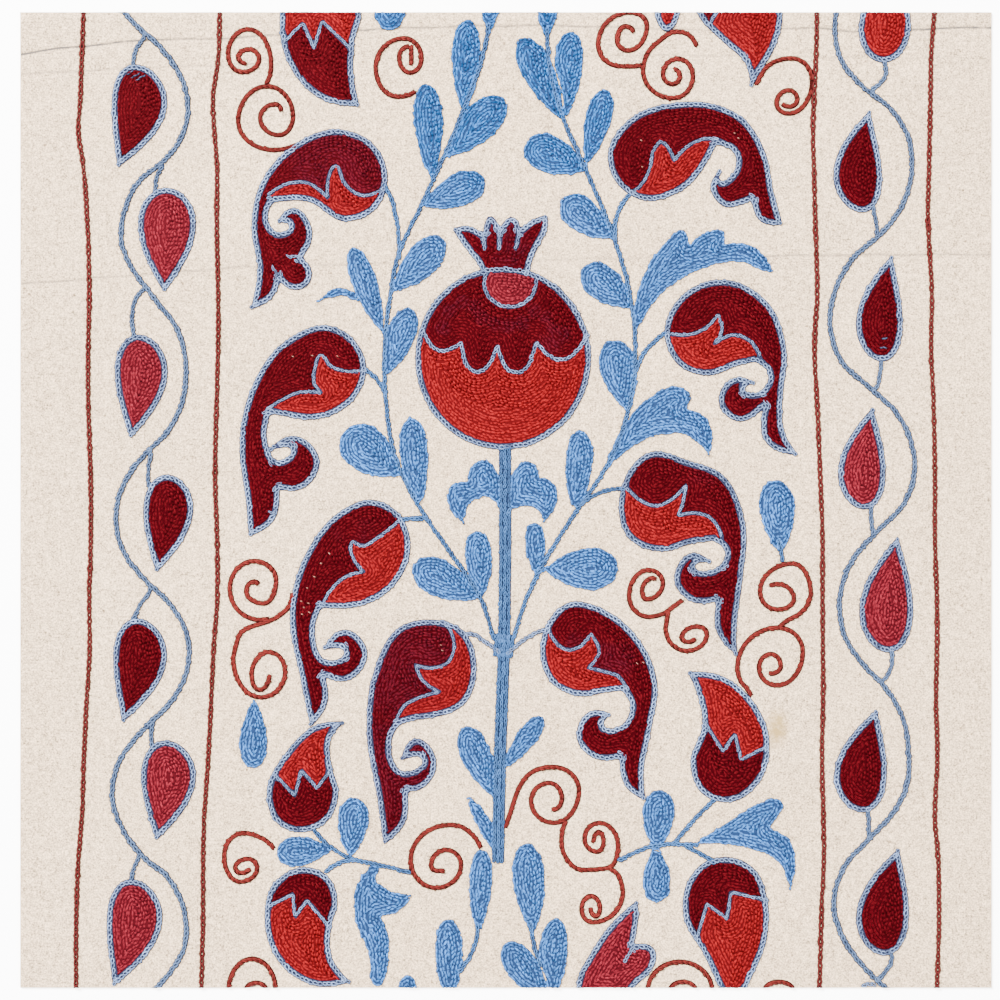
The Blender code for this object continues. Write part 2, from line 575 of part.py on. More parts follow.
def place(bm, name, slot):
    """A new object of the mesh, in the cloth's collection."""
    bmesh.ops.recalc_face_normals(bm, faces=bm.faces)
    mesh = bpy.data.meshes.new(name)
    bm.to_mesh(mesh)
    bm.free()
    mesh.materials.append(material(slot))
    obj = bpy.data.objects.new(name, mesh)
    textile.objects.link(obj)
    return obj


def pad(name, slot, corners, faces):
    """A stitched motif: its outline raised PAD_THICK, CLEARANCE above the cloth."""
    bm = bmesh.new()
    low = CLOTH_THICK + CLEARANCE
    used = np.unique(faces)
    verts = {}
    for i in used:
        column, row = corners[i]
        verts[i] = bm.verts.new(((column - MID_COLUMN) * STEP, (MID_ROW - row) * STEP, low))
    for face in faces:
        bm.faces.new([verts[i] for i in face])
    raised = bmesh.ops.extrude_face_region(bm, geom=list(bm.faces))["geom"]
    tops = [v for v in raised if isinstance(v, bmesh.types.BMVert)]
    bmesh.ops.translate(bm, verts=tops, vec=(0, 0, PAD_THICK))
    return place(bm, name, slot)


def crease_at(crease, column):
    """The row and the depth in metres of a crease at a column."""
    columns, rows, depths = np.array(crease).T
    return np.interp(column, columns, rows), np.interp(column, columns, depths) * 0.001


def ground_cloth():
    """The cotton: flat underneath, its folds pressed into the face as soft troughs."""
    trough = [-CREASE_HALF, -CREASE_HALF * 0.4, 0, CREASE_HALF * 0.4, CREASE_HALF]
    top, bottom = MID_ROW - HALF_ROWS, MID_ROW + HALF_ROWS
    left = MID_COLUMN - HALF_COLUMNS
    rows = [(None, top)] + [(c, offset) for c in (0, 1, 2) for offset in trough] + [(None, bottom)]
    bm = bmesh.new()
    bmesh.ops.create_grid(bm, x_segments=CLOTH_COLUMNS, y_segments=len(rows) - 1, size=0.5)
    for vert in bm.verts:
        column = left + round((vert.co.x + 0.5) * CLOTH_COLUMNS) / CLOTH_COLUMNS * 2 * HALF_COLUMNS
        which, offset = rows[round((0.5 - vert.co.y) * (len(rows) - 1))]
        row, sink = offset, 0
        if which is not None:
            row, depth = crease_at(CREASES[which], column)
            row, sink = row + offset, depth * max(0, 1 - (abs(offset) / CREASE_HALF)) ** 0.8
            if which == 1:
                clear_of = crease_at(CREASES[0], column)[0] + CREASE_HALF + 1
                row = max(row, clear_of + (offset + CREASE_HALF) * 0.5)
        vert.co = ((column - MID_COLUMN) * STEP, (MID_ROW - row) * STEP, CLOTH_THICK - sink)
    face = bmesh.ops.extrude_face_region(bm, geom=list(bm.faces))["geom"]
    for vert in face:
        if isinstance(vert, bmesh.types.BMVert):
            vert.co.z = 0
    return place(bm, "ground_cloth", "ivory_cotton")


for old in list(bpy.data.objects):
    bpy.data.objects.remove(old)
textile = bpy.data.collections.new("suzani_cloth")
bpy.context.scene.collection.children.link(textile)

ground_cloth()
done = []
for motif, silk, outline in motifs():
    room = [grown(other, APART) for other in done if any(near(other, loop, 2) for loop in outline)]
    pad(motif, silk, *region(outline, room))
    done += outline
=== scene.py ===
import math
import bmesh
import bpy
import numpy as np
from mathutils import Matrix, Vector


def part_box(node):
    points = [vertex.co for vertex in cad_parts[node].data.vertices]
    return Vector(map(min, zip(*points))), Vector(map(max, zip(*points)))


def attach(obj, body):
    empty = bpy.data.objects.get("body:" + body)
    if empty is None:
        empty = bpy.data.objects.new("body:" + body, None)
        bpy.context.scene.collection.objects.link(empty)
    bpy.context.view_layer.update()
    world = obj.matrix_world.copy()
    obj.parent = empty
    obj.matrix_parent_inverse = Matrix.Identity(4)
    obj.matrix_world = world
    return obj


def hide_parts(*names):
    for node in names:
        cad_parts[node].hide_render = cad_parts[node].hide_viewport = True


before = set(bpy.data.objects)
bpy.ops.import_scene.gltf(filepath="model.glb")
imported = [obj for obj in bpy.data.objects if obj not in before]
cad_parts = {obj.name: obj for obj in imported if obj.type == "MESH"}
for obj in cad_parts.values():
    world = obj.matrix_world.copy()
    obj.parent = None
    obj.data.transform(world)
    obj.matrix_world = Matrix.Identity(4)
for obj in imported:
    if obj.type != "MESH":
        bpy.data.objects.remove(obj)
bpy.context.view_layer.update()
bpy.ops.object.select_all(action="DESELECT")

# The ground cloth: ivory cotton in plain weave, cut to length and laid flat on its back.
# The pattern on it is drawn on a squared chart: columns count right, rows count down, and one step
# of the chart is STEP on the cloth. Old folds cross it as soft troughs with a little soil and
# painted shade along their lines.
STEP = 0.00045
MID_COLUMN = 506
MID_ROW = 500
CLOTH_LOW, CLOTH_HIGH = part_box("ground_cloth")
CLOTH_TOP = CLOTH_HIGH.z
LEFT, RIGHT, TOP, BOTTOM = 20, 992, 12, 988
CLOTH_COLUMNS = 162
CREASE_OFFSETS = (-7, -4.5, -3, -2, -1.2, -0.6, 0, 0.6, 1.2, 2, 3, 4.5, 7)
CREASE_HALF = 7
CREASES = (
    ((20, 54, 0.36), (60, 48, 0.36), (153, 39, 0.30), (210, 39, 0.22), (372, 29, 0.28),
     (456, 26, 0.20), (554, 25, 0.25), (700, 30, 0.10), (775, 28, 0.14), (817, 28, 0.34),
     (852, 31, 0.26), (944, 28, 0.34), (992, 27, 0.34)),
    ((20, 74, 0.16), (150, 67, 0.12), (420, 60, 0.02), (650, 55, 0.10), (992, 58, 0.05)),
    ((20, 284, 0.20), (239, 267, 0.14), (500, 260, 0.06), (819, 255, 0.18), (992, 254, 0.15)),
)
PLAIN_ROWS = (3, 2, 34, 122)  # rows of mesh above, between and below the creases
IVORY = (0.545, 0.400, 0.260, 1)
IVORY_DEEP = (0.345, 0.246, 0.155, 1)
SPECK = (0.085, 0.05, 0.026, 1)
STAIN = (0.28, 0.185, 0.072, 1)
STAIN_PLACE, STAIN_REACH, STAIN_TALLER = (777, 729), 0.0105, 1.6
# The colour of the soil and painted shade along the folds.
FOLD_SOIL_AND_SHADE = (0.085, 0.072, 0.064, 1)
WEAVE_PITCH = 0.00052


def at(column, row, height):
    """A place on the chart as a place on the cloth, in metres."""
    return Vector(((column - MID_COLUMN) * STEP, (MID_ROW - row) * STEP, height))


def node(tree, kind, **settings):
    """A shader node with its settings; a socket is set by its name in `sockets`."""
    made = tree.nodes.new(kind)
    for name, value in settings.pop("sockets", {}).items():
        made.inputs[name].default_value = value
    for name, value in settings.items():
        setattr(made, name, value)
    return made


def join(tree, *pairs):
    for out, into in pairs:
        tree.links.new(out, into)


def maths(tree, operation, first, second=0.0):
    """A Math node on numbers or sockets; its result."""
    made = tree.nodes.new("ShaderNodeMath")
    made.operation = operation
    for socket, value in zip(made.inputs, (first, second)):
        if isinstance(value, (int, float)):
            socket.default_value = value
        else:
            tree.links.new(value, socket)
    return made.outputs[0]


def plus(tree, first, second):
    return maths(tree, "ADD", first, second)


def less(tree, first, second):
    return maths(tree, "SUBTRACT", first, second)


def times(tree, first, second):
    return maths(tree, "MULTIPLY", first, second)


def blended(tree, share, first, second, mode="MIX"):
    """A colour mix of two sockets or colours; its result."""
    made = node(tree, "ShaderNodeMix", data_type="RGBA", blend_type=mode)
    colour_a, colour_b = made.inputs[6], made.inputs[7]
    for socket, value in zip((made.inputs[0], colour_a, colour_b), (share, first, second)):
        if isinstance(value, bpy.types.NodeSocket):
            tree.links.new(value, socket)
        else:
            socket.default_value = value
    return made.outputs[2]


def noise(tree, place, scale, detail=2.0, rough=0.5, stretch=(1, 1, 1)):
    """Noise from 0 to 1 over places in metres, with `scale` features to a metre."""
    size = node(tree, "ShaderNodeVectorMath", operation="MULTIPLY")
    size.inputs[1].default_value = stretch
    made = node(tree, "ShaderNodeTexNoise",
                sockets={"Scale": scale, "Detail": detail, "Roughness": rough})
    join(tree, (place, size.inputs[0]), (size.outputs[0], made.inputs["Vector"]))
    return made.outputs["Fac"]


def group(name, inputs, outputs):
    """An empty node group with its sockets: (name, kind, value) and (name, kind)."""
    tree = bpy.data.node_groups.new(name, "ShaderNodeTree")
    for label, kind, value in inputs:
        socket = tree.interface.new_socket(label, in_out="INPUT", socket_type=f"NodeSocket{kind}")
        socket.default_value = value
    for label, kind in outputs:
        tree.interface.new_socket(label, in_out="OUTPUT", socket_type=f"NodeSocket{kind}")
    return tree, tree.nodes.new("NodeGroupInput"), tree.nodes.new("NodeGroupOutput")


def use(tree, made, **sockets):
    """A node group placed in a material, with its values."""
    placed = node(tree, "ShaderNodeGroup", node_tree=made)
    for name, value in sockets.items():
        placed.inputs[name].default_value = value
    return placed


# Plain weave: over and under by turns, with threads of uneven thickness.
WANDER = 0.0011  # how far a thread strays from its line
THREAD_ROUND = 0.4  # the less, the flatter a thread where it crosses over
SLUBS = ((1900, 90, 1), (90, 1900, 1))  # thick and thin stretches, long along the thread
FUZZ_SCALE, FUZZ_HEIGHT = 5200, 0.35
# Its gap output is painted shade in the hollows between the threads.
weave, given, made = group("plain_weave", [("Pitch", "Float", WEAVE_PITCH)],
                           [("Height", "Float"), ("Painted gap shade", "Float"), ("Slub", "Float")])
place = node(weave, "ShaderNodeTexCoord").outputs["Object"]
wander = node(weave, "ShaderNodeTexNoise", sockets={"Scale": 45, "Detail": 2.0})
shifted = node(weave, "ShaderNodeVectorMath", operation="MULTIPLY_ADD")
shifted.inputs[1].default_value = (WANDER, WANDER, 0)
join(weave, (place, wander.inputs["Vector"]), (wander.outputs["Color"], shifted.inputs[0]),
     (place, shifted.inputs[2]))
apart = node(weave, "ShaderNodeSeparateXYZ")
join(weave, (shifted.outputs[0], apart.inputs[0]))
turns = [times(weave, maths(weave, "DIVIDE", apart.outputs[i], given.outputs["Pitch"]), math.pi)
         for i in (0, 1)]
across, along = [maths(weave, "SINE", turn) for turn in turns]
over = maths(weave, "GREATER_THAN", times(weave, across, along), 0.0)
under = less(weave, 1.0, over)
across, along = [maths(weave, "ABSOLUTE", wave) for wave in (across, along)]
warp = times(weave, across, maths(weave, "POWER", along, THREAD_ROUND))
weft = times(weave, along, maths(weave, "POWER", across, THREAD_ROUND))
height = plus(weave, times(weave, warp, over), times(weave, weft, under))
warp_slub, weft_slub = [noise(weave, place, 1.0, 3.0, 0.6, stretch) for stretch in SLUBS]
slub = plus(weave, times(weave, warp_slub, over), times(weave, weft_slub, under))
fuzz = noise(weave, place, FUZZ_SCALE, 2.0, 0.7)
rough_height = plus(weave, times(weave, height, plus(weave, slub, 0.5)),
                    times(weave, fuzz, FUZZ_HEIGHT))
join(weave, (rough_height, made.inputs["Height"]),
     (maths(weave, "POWER", less(weave, 1.0, height), 2.0), made.inputs["Painted gap shade"]),
     (slub, made.inputs["Slub"]))

BLOTCHES, MOTTLES, GRAINS = 9, 420, 1300  # features to a metre
BLOTCH_DEPTH, GAP_SHADE_DEPTH, SLUB_DEPTH, GRAIN_DEPTH = 0.42, 0.34, 0.9, 3.4
DARKEST = 0.25
HUSKS = ((150, 0.11, 0.72), (420, 0.24, 0.88))  # cells to a metre, size, share that has none
HUSK_DEPTH, STAIN_DEPTH, FOLD_DARK_DEPTH = 0.62, 2.5, 1.7
cotton = bpy.data.materials.new("ivory_cotton_plain_weave")
cotton.use_nodes = True
tree = cotton.node_tree
shader = tree.nodes["Principled BSDF"]
shader.inputs["Roughness"].default_value = 0.93
shader.inputs["Specular IOR Level"].default_value = 0.18
place = node(tree, "ShaderNodeTexCoord").outputs["Object"]
threads = use(tree, weave, Pitch=WEAVE_PITCH)
blotch = noise(tree, place, BLOTCHES, 4.0, 0.6)
grain = noise(tree, place, GRAINS, 2.0, 0.7)
colour = blended(tree, times(tree, blotch, BLOTCH_DEPTH), IVORY, IVORY_DEEP)
# Painted shade in the gaps between the threads.
colour = blended(tree, times(tree, threads.outputs["Painted gap shade"], GAP_SHADE_DEPTH), colour, IVORY_DEEP)
mottle = noise(tree, place, MOTTLES, 2.0, 0.6)
shade = 1.0
for mask, depth_of in ((threads.outputs["Slub"], SLUB_DEPTH), (mottle, 1.0), (grain, GRAIN_DEPTH)):
    shade = plus(tree, times(tree, less(tree, mask, 0.5), depth_of), shade)
shade = maths(tree, "MAXIMUM", shade, DARKEST)
shade_colour = node(tree, "ShaderNodeCombineColor")
join(tree, (shade, shade_colour.inputs[0]), (shade, shade_colour.inputs[1]),
     (shade, shade_colour.inputs[2]))
colour = blended(tree, 1.0, colour, shade_colour.outputs[0], "MULTIPLY")
# Husk specks left in the cotton, a stain by the right-hand bud, soil and painted shade in the
# folds.
for cells, size, share in HUSKS:
    husk = node(tree, "ShaderNodeTexVoronoi", sockets={"Scale": cells, "Randomness": 1.0})
    join(tree, (place, husk.inputs["Vector"]))
    picked = node(tree, "ShaderNodeSeparateColor")
    join(tree, (husk.outputs["Color"], picked.inputs[0]))
    near = maths(tree, "LESS_THAN", husk.outputs["Distance"], times(tree, picked.outputs[1], size))
    mask = times(tree, near, maths(tree, "GREATER_THAN", picked.outputs[0], share))
    colour = blended(tree, times(tree, mask, HUSK_DEPTH), colour, SPECK)
spot = at(*STAIN_PLACE, CLOTH_TOP)
away = node(tree, "ShaderNodeVectorMath", operation="MULTIPLY_ADD")
away.inputs[1].default_value = (STAIN_TALLER, 1, 1)
away.inputs[2].default_value = (-STAIN_TALLER * spot.x, -spot.y, -spot.z)
reach = node(tree, "ShaderNodeVectorMath", operation="LENGTH")
join(tree, (place, away.inputs[0]), (away.outputs[0], reach.inputs[0]))
edge = less(tree, 1.0, maths(tree, "DIVIDE", reach.outputs["Value"], STAIN_REACH))
mask = times(tree, maths(tree, "MAXIMUM", edge, 0.0), noise(tree, place, 260, 3.0))
colour = blended(tree, times(tree, mask, STAIN_DEPTH), colour, STAIN)
# Soil and painted shade along the folds, more where a fold is deeper.
fold_dark = node(tree, "ShaderNodeAttribute", attribute_name="fold").outputs["Fac"]
broken = times(tree, fold_dark, noise(tree, place, 230, 3.0, 0.7, (1, 2, 1)))
colour = blended(tree, times(tree, broken, FOLD_DARK_DEPTH), colour, FOLD_SOIL_AND_SHADE)
bump = node(tree, "ShaderNodeBump", sockets={"Strength": 0.85, "Distance": 0.00016})
join(tree, (threads.outputs["Height"], bump.inputs["Height"]),
     (bump.outputs[0], shader.inputs["Normal"]), (colour, shader.inputs["Base Color"]))

CREASE_PROFILE = 2.2  # the more, the narrower the trough
FOLD_DARK_HALF = 1.5  # how far the soil and painted shade reach from the fold's line, in steps
FULL_FOLD_DARK = 0.0003  # the depth of fold that takes the full soil and painted shade
SETTLED = 0.00008  # how far the cloth lies under its top at rest, and how far it swells
SWELL = 0.00005
crease_rows = []
for spot, plain in enumerate(PLAIN_ROWS):
    crease_rows += [(spot, i / plain) for i in range(plain)]
    if spot < len(CREASES):
        crease_rows += [(spot, offset, "crease") for offset in CREASE_OFFSETS]
crease_rows.append((len(CREASES), 1.0))
bpy.ops.mesh.primitive_grid_add(x_subdivisions=CLOTH_COLUMNS,
                                y_subdivisions=len(crease_rows) - 1, size=1)
cloth = bpy.context.object
cloth.name = "ground_cloth_cotton"
mesh = cloth.data
fold = np.zeros(len(mesh.vertices), np.float32)


def crease_line(which, column):
    """The row and depth in metres of a fold at a column; the second keeps below the first."""
    columns, rows, depths = np.array(CREASES[which]).T
    row = np.interp(column, columns, rows) + 0.5 * math.sin(column * 0.09 + which)
    if which == 1:
        row = max(row, crease_line(0, column)[0] + 2 * CREASE_HALF + 1)
    return row, np.interp(column, columns, depths) * 0.001


for vert in mesh.vertices:
    column = LEFT + round((vert.co.x + 0.5) * CLOTH_COLUMNS) / CLOTH_COLUMNS * (RIGHT - LEFT)
    place = crease_rows[round((0.5 - vert.co.y) * (len(crease_rows) - 1))]
    lines = [crease_line(which, column) for which in range(len(CREASES))]
    sink = 0
    if len(place) == 3:
        row = lines[place[0]][0] + place[1]
        near = 1 - abs(place[1]) / CREASE_HALF
        sink = lines[place[0]][1] * near ** CREASE_PROFILE
        fold_darkness = min(1, max(0, FOLD_DARK_HALF - abs(place[1])))
        fold[vert.index] = fold_darkness * lines[place[0]][1] / FULL_FOLD_DARK
    else:
        above = TOP if place[0] == 0 else lines[place[0] - 1][0] + CREASE_HALF
        below = BOTTOM if place[0] == len(CREASES) else lines[place[0]][0] - CREASE_HALF
        row = above + (below - above) * place[1]
        if place == (0, 0.0):
            row = TOP
    swell = SWELL * (math.sin(column * 0.021 + 2) * math.sin(row * 0.017)
                     + 0.6 * math.sin(column * 0.06 + row * 0.034))
    vert.co = at(column, row, CLOTH_TOP - SETTLED + swell - sink)
attribute = mesh.attributes.new("fold", "FLOAT", "POINT")
attribute.data.foreach_set("value", fold)
bpy.ops.object.mode_set(mode="EDIT")
bpy.ops.mesh.select_mode(type="EDGE")
bpy.ops.mesh.select_all(action="DESELECT")
bpy.ops.mesh.select_non_manifold()
bpy.ops.mesh.extrude_edges_move(TRANSFORM_OT_translate={"value": (0, 0, -0.0001)})
bpy.ops.object.mode_set(mode="OBJECT")
for vert in mesh.vertices:
    if vert.select:
        vert.co.z = CLOTH_LOW.z
bpy.ops.object.mode_set(mode="EDIT")
bpy.ops.mesh.edge_face_add()
bpy.ops.mesh.select_all(action="SELECT")
bpy.ops.mesh.normals_make_consistent(inside=False)
bpy.ops.object.mode_set(mode="OBJECT")
ordered = bmesh.new()  # Blender makes the cut edge's faces in a new order at each run
ordered.from_mesh(mesh)
ordered.faces.sort(key=lambda face: sum(vert.index ** 2 for vert in face.verts))
ordered.to_mesh(mesh)
ordered.free()
mesh.materials.append(cotton)
bpy.ops.object.shade_smooth_by_angle(angle=math.radians(40))
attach(cloth, "root")
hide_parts("ground_cloth")


# The paisleys: eight curled leaves in two reds, worked in silk chain stitch. Each is outlined in
# pale blue, a blue row parts its scarlet lobe from its crimson body, and the rows of each part
# follow its edge inwards.
(CRIMSON, SCARLET, ROSE, PALE_BLUE, SKY_BLUE, STEEL_BLUE, GREY_BLUE, BRICK, DEEP_BRICK,
 PALE_RED) = range(10)
SILKS = (
    # name, painted shade in the gaps, silk, lit silk as a painted highlight, and the second dye
    # that some stretches took
    ("crimson_silk", (0.0135, 0.0004, 0.0010), (0.0295, 0.0010, 0.0020), (0.084, 0.0041, 0.0068),
     (0.0290, 0.0025, 0.0062)),
    ("scarlet_silk", (0.0390, 0.0018, 0.0024), (0.098, 0.0043, 0.0056), (0.260, 0.0085, 0.0100),
     (0.0790, 0.0037, 0.0052)),
    ("rose_silk", (0.0290, 0.0020, 0.0034), (0.0750, 0.0055, 0.0093), (0.240, 0.0185, 0.0310),
     (0.0590, 0.0042, 0.0072)),
    ("pale_blue_silk", (0.0110, 0.0125, 0.0280), (0.0480, 0.0640, 0.1120), (0.230, 0.330, 0.550),
     (0.0380, 0.0440, 0.0860)),
    ("sky_blue_silk", (0.0090, 0.0195, 0.0520), (0.0235, 0.0600, 0.1500), (0.066, 0.280, 0.780),
     (0.0010, 0.0250, 0.0850)),
    ("steel_blue_silk", (0.0075, 0.0120, 0.0290), (0.0190, 0.0385, 0.0850), (0.050, 0.144, 0.345),
     (0.0170, 0.0340, 0.0780)),
    ("grey_blue_silk", (0.0100, 0.0140, 0.0310), (0.0310, 0.0460, 0.0820), (0.082, 0.128, 0.225),
     (0.0270, 0.0390, 0.0720)),
    ("brick_silk", (0.0170, 0.0026, 0.0023), (0.0520, 0.0078, 0.0068), (0.140, 0.0165, 0.0135),
     (0.0430, 0.0062, 0.0055)),
    ("deep_brick_silk", (0.0155, 0.0026, 0.0025), (0.0445, 0.0065, 0.0062),
     (0.088, 0.0165, 0.0150), (0.0350, 0.0050, 0.0052)),
    ("pale_red_silk", (0.0500, 0.0120, 0.0100), (0.1900, 0.0600, 0.0460), (0.420, 0.250, 0.190),
     (0.1500, 0.0450, 0.0350)),
)
STRAND_SIDES = 3
LINK_REACH = 1.2  # a link's length, in spans of the row: its tip lies over the next link's root
FILL_WIDTH = 2.95  # rows of filling, in steps: how wide, and how long a span is
FILL_SPAN = 4.6
LINE_WIDTH = 5.3  # outline rows: how wide inside a motif's line, and how far they stand outside it
LINE_OUT = 1.4
LINE_SPAN = 4.7
SEAM_WIDTH = 3.7  # the rows that part two silks
SEAM_SPAN = LINE_SPAN * 0.9
SEAM_SPACING = 5
WAVER = 0.45  # how far a filling row strays from its line, in steps
LINK_LOW = 0.00128  # where a link's thread starts, and how far it rises to its tip
LINK_RISE = 0.00026
THREAD = 0.00072  # the thread's height
BED_TOP = 0.00118  # the ribbon of thread under a single row, and how deep it is in the cloth
BED_SUNK = 0.0002
LINE_LAYER_TOP = 0.00125  # the layers of thread under an outline and under a filling
FILL_LAYER_TOP = 0.0014
LOW_LIFT, MID_LIFT, HIGH_LIFT = 0.0001, 0.0002, 0.0003  # how far a row is raised over others
PAISLEY_PLACES = (
    "tail", "heel", "waist", "back", "shoulder", "crown", "brow", "head", "cheek", "chin",
    "throat", "neck", "nape", "cup", "hollow", "hook_tip", "hook_top", "hook_side", "hook_foot",
    "crotch", "tail_side",
)
PAISLEY_CORNERS = ("tail", "neck", "hook_tip", "crotch")
PAISLEYS = (
    ("paisley_left_1", (
        (251, 309), (258, 271), (252, 229), (258, 190), (284, 153), (342, 130), (372, 143),
        (387, 180), (376, 208), (345, 221), (308, 201), (272, 202), (267, 218), (279, 233),
        (290, 226), (277, 222), (292, 208), (312, 235), (302, 257), (280, 278), (273, 296))),
    ("paisley_left_2", (
        (249, 536), (246, 498), (240, 450), (249, 395), (286, 341), (330, 326), (351, 337),
        (366, 370), (351, 402), (315, 419), (286, 416), (270, 413), (266, 435), (279, 461),
        (292, 451), (269, 450), (292, 436), (319, 460), (301, 489), (279, 489), (273, 521))),
    ("paisley_left_3", (
        (311, 726), (302, 684), (291, 604), (307, 552), (340, 512), (372, 500), (396, 511),
        (410, 545), (396, 583), (346, 608), (334, 608), (321, 607), (314, 632), (328, 661),
        (345, 653), (323, 649), (344, 630), (367, 652), (345, 681), (324, 676), (327, 702))),
    ("paisley_left_4", (
        (384, 844), (378, 800), (367, 728), (374, 672), (402, 626), (432, 620), (462, 630),
        (476, 665), (464, 704), (428, 718), (412, 720), (398, 725), (390, 746), (404, 772),
        (423, 760), (401, 760), (415, 739), (436, 762), (418, 790), (407, 791), (404, 824))),
    ("paisley_right_1", (
        (782, 224), (774, 196), (764, 150), (744, 119), (712, 104), (676, 103), (630, 119),
        (608, 156), (618, 184), (645, 200), (680, 191), (716, 144), (735, 153), (732, 175),
        (720, 181), (721, 169), (711, 186), (727, 207), (744, 203), (752, 200), (762, 222))),
    ("paisley_right_2", (
        (798, 455), (784, 432), (782, 402), (786, 350), (768, 303), (722, 280), (684, 294),
        (665, 333), (679, 365), (708, 375), (738, 365), (756, 361), (769, 374), (757, 393),
        (744, 389), (756, 383), (734, 378), (719, 402), (738, 421), (764, 407), (766, 442))),
    ("paisley_right_3", (
        (737, 655), (736, 632), (742, 580), (745, 525), (720, 473), (688, 461), (652, 452),
        (620, 496), (630, 539), (663, 551), (692, 543), (714, 540), (726, 552), (710, 571),
        (694, 567), (711, 562), (694, 553), (675, 582), (694, 602), (717, 601), (717, 632))),
    ("paisley_right_4", (
        (645, 800), (643, 776), (651, 728), (657, 684), (636, 636), (602, 609), (572, 602),
        (541, 643), (552, 683), (581, 696), (605, 692), (623, 690), (631, 706), (617, 728),
        (603, 726), (611, 714), (592, 711), (577, 738), (597, 759), (620, 758), (627, 788))),
)
# The row that parts the two reds, from the neck to the head; True marks its sharp turns.
PARTINGS = {
    "paisley_left_1": (
        (268, 195), (285, 184.5), (304, 182), (328, 198, True), (329, 176), (334, 166),
        (345, 184), (360, 195), (384, 189)),
    "paisley_left_2": (
        (266, 410), (280, 401), (297, 393), (322, 393, True), (315, 386), (315, 368),
        (321, 355), (330, 366), (345, 371), (365, 371)),
    "paisley_left_3": (
        (322, 606), (332, 588), (347, 576), (364, 572, True), (353, 558), (350, 547),
        (353, 541, True), (361, 546), (377, 538), (399, 521)),
    "paisley_left_4": (
        (396, 722), (404, 706), (418, 698), (440, 692, True), (425, 683), (415, 665, True),
        (430, 668), (446, 664), (454, 650), (452, 634), (446, 623)),
    "paisley_right_1": (
        (718, 139), (704, 139), (688, 146), (674, 161, True), (669, 149), (661, 142),
        (654, 150), (650, 168), (642, 184), (633, 193)),
    "paisley_right_2": (
        (760, 356), (750, 341), (737, 335), (714, 344, True), (722, 330), (718, 314, True),
        (708, 326), (693, 334), (667, 333)),
    "paisley_right_3": (
        (722, 537), (712, 519), (697, 513), (678, 516, True), (683, 502), (686, 485, True),
        (671, 500), (655, 506), (640, 500), (627, 488)),
    "paisley_right_4": (
        (627, 690), (618, 676), (606, 672), (588, 668, True), (599, 652), (591, 634, True),
        (581, 646), (567, 650), (554, 640), (548, 629)),
}
TAIL_LOBES = {"paisley_left_1": ((268, 251), (308, 284), 32)}
TICKS = {  # short blue rows sewn inside a paisley
    "paisley_left_1": (((271, 266), (277, 273)), ((286, 256), (299, 257))),
    "paisley_left_2": (((268, 512), (275, 514)),),
}
LINK_STALKS = {
    "paisley_left_4": ((458, 640), (470, 633), (484, 641), (500, 652)),
    "paisley_right_4": ((546, 629), (530, 636), (508, 654)),
}
SPECKS = {  # where the pale ends of threads show between the stitches
    "paisley_left_2": ((292, 356), (311, 355), (336, 356)),
    "paisley_left_3": ((300, 601), (303, 607), (307, 603), (308, 612), (301, 614), (313, 576),
                       (320, 563), (328, 553), (306, 588)),
    "paisley_left_4": ((440, 645), (441, 650)),
    "paisley_right_1": ((733, 134), (737, 138), (640, 140), (641, 167)),
    "paisley_right_4": ((636, 663), (642, 662)),
}
PLUM = {  # where the second dye shows: column, row, reach, strength
    "paisley_left_1": ((335, 160, 62, 0.95), (368, 178, 40, 0.9)),
    "paisley_left_4": ((420, 670, 80, 0.95), (385, 760, 70, 0.8), (395, 820, 40, 0.6)),
    "paisley_right_4": ((612, 660, 26, 0.9), (575, 641, 13, 0.9)),
    "paisley_right_3": ((700, 480, 24, 0.4),),
    "paisley_left_3": ((350, 530, 30, 0.3),),
}
PALE_END_WAY, PALE_END_WIDTH, PALE_END_SPAN = (2.2, 0.8), 2.2, 3
BELLY = 0.66  # where a drop or a leaf is broadest, from its point
SPACING = 7  # a curve's points, and how far it turns between two of them at most
BEND_STEP = math.radians(12)
STALK_WIDTH = 6.4
STALK_BED = 0.6  # how much of a row's width the thread under it takes
SEED = 21
dice = np.random.default_rng(SEED)
DYE_PATCHES = 75  # the second dye: patches to a metre, where they start and how sharply
DYE_START, DYE_SHARP = 0.42, 3.2
SHEEN, SHEEN_START = 2.2, 0.2  # how a link's tone sets the painted highlight on its ridge
SHADED, SHADE_DEPTH = 1.35, 0.9  # and the painted shade on its flanks
STRANDS = (9, 34, 1)  # the single strands of the floss, along and across a link
STRAND_ROUGH, SMOOTHEST = 0.3, 0.30

# Silk with painted light: a painted highlight along each strand's top, painted shade below it.
floss, given, made = group(
    "silk_floss",
    [("Painted shade", "Color", (0, 0, 0, 1)), ("Silk", "Color", (0, 0, 0, 1)),
     ("Painted highlight", "Color", (0, 0, 0, 1)), ("Second dye", "Color", (0, 0, 0, 1))],
    [("Color", "Color"), ("Roughness", "Float"), ("Height", "Float")])
place = node(floss, "ShaderNodeTexCoord").outputs["Object"]
tone = node(floss, "ShaderNodeAttribute", attribute_name="tone").outputs["Fac"]
rise = node(floss, "ShaderNodeAttribute", attribute_name="rise").outputs["Fac"]
dye = node(floss, "ShaderNodeAttribute", attribute_name="dye").outputs["Fac"]
thread = node(floss, "ShaderNodeUVMap", uv_map="thread").outputs["UV"]
patch = noise(floss, place, DYE_PATCHES, 3.0, 0.6)
mixed = times(floss, less(floss, plus(floss, patch, dye), DYE_START), DYE_SHARP)
limit = node(floss, "ShaderNodeClamp")
join(floss, (mixed, limit.inputs[0]))
colour = blended(floss, limit.outputs[0], given.outputs["Silk"], given.outputs["Second dye"])
ridge = maths(floss, "MAXIMUM", less(floss, rise, 0.5), 0.0)
lit = times(floss, ridge, less(floss, times(floss, tone, SHEEN), SHEEN_START))
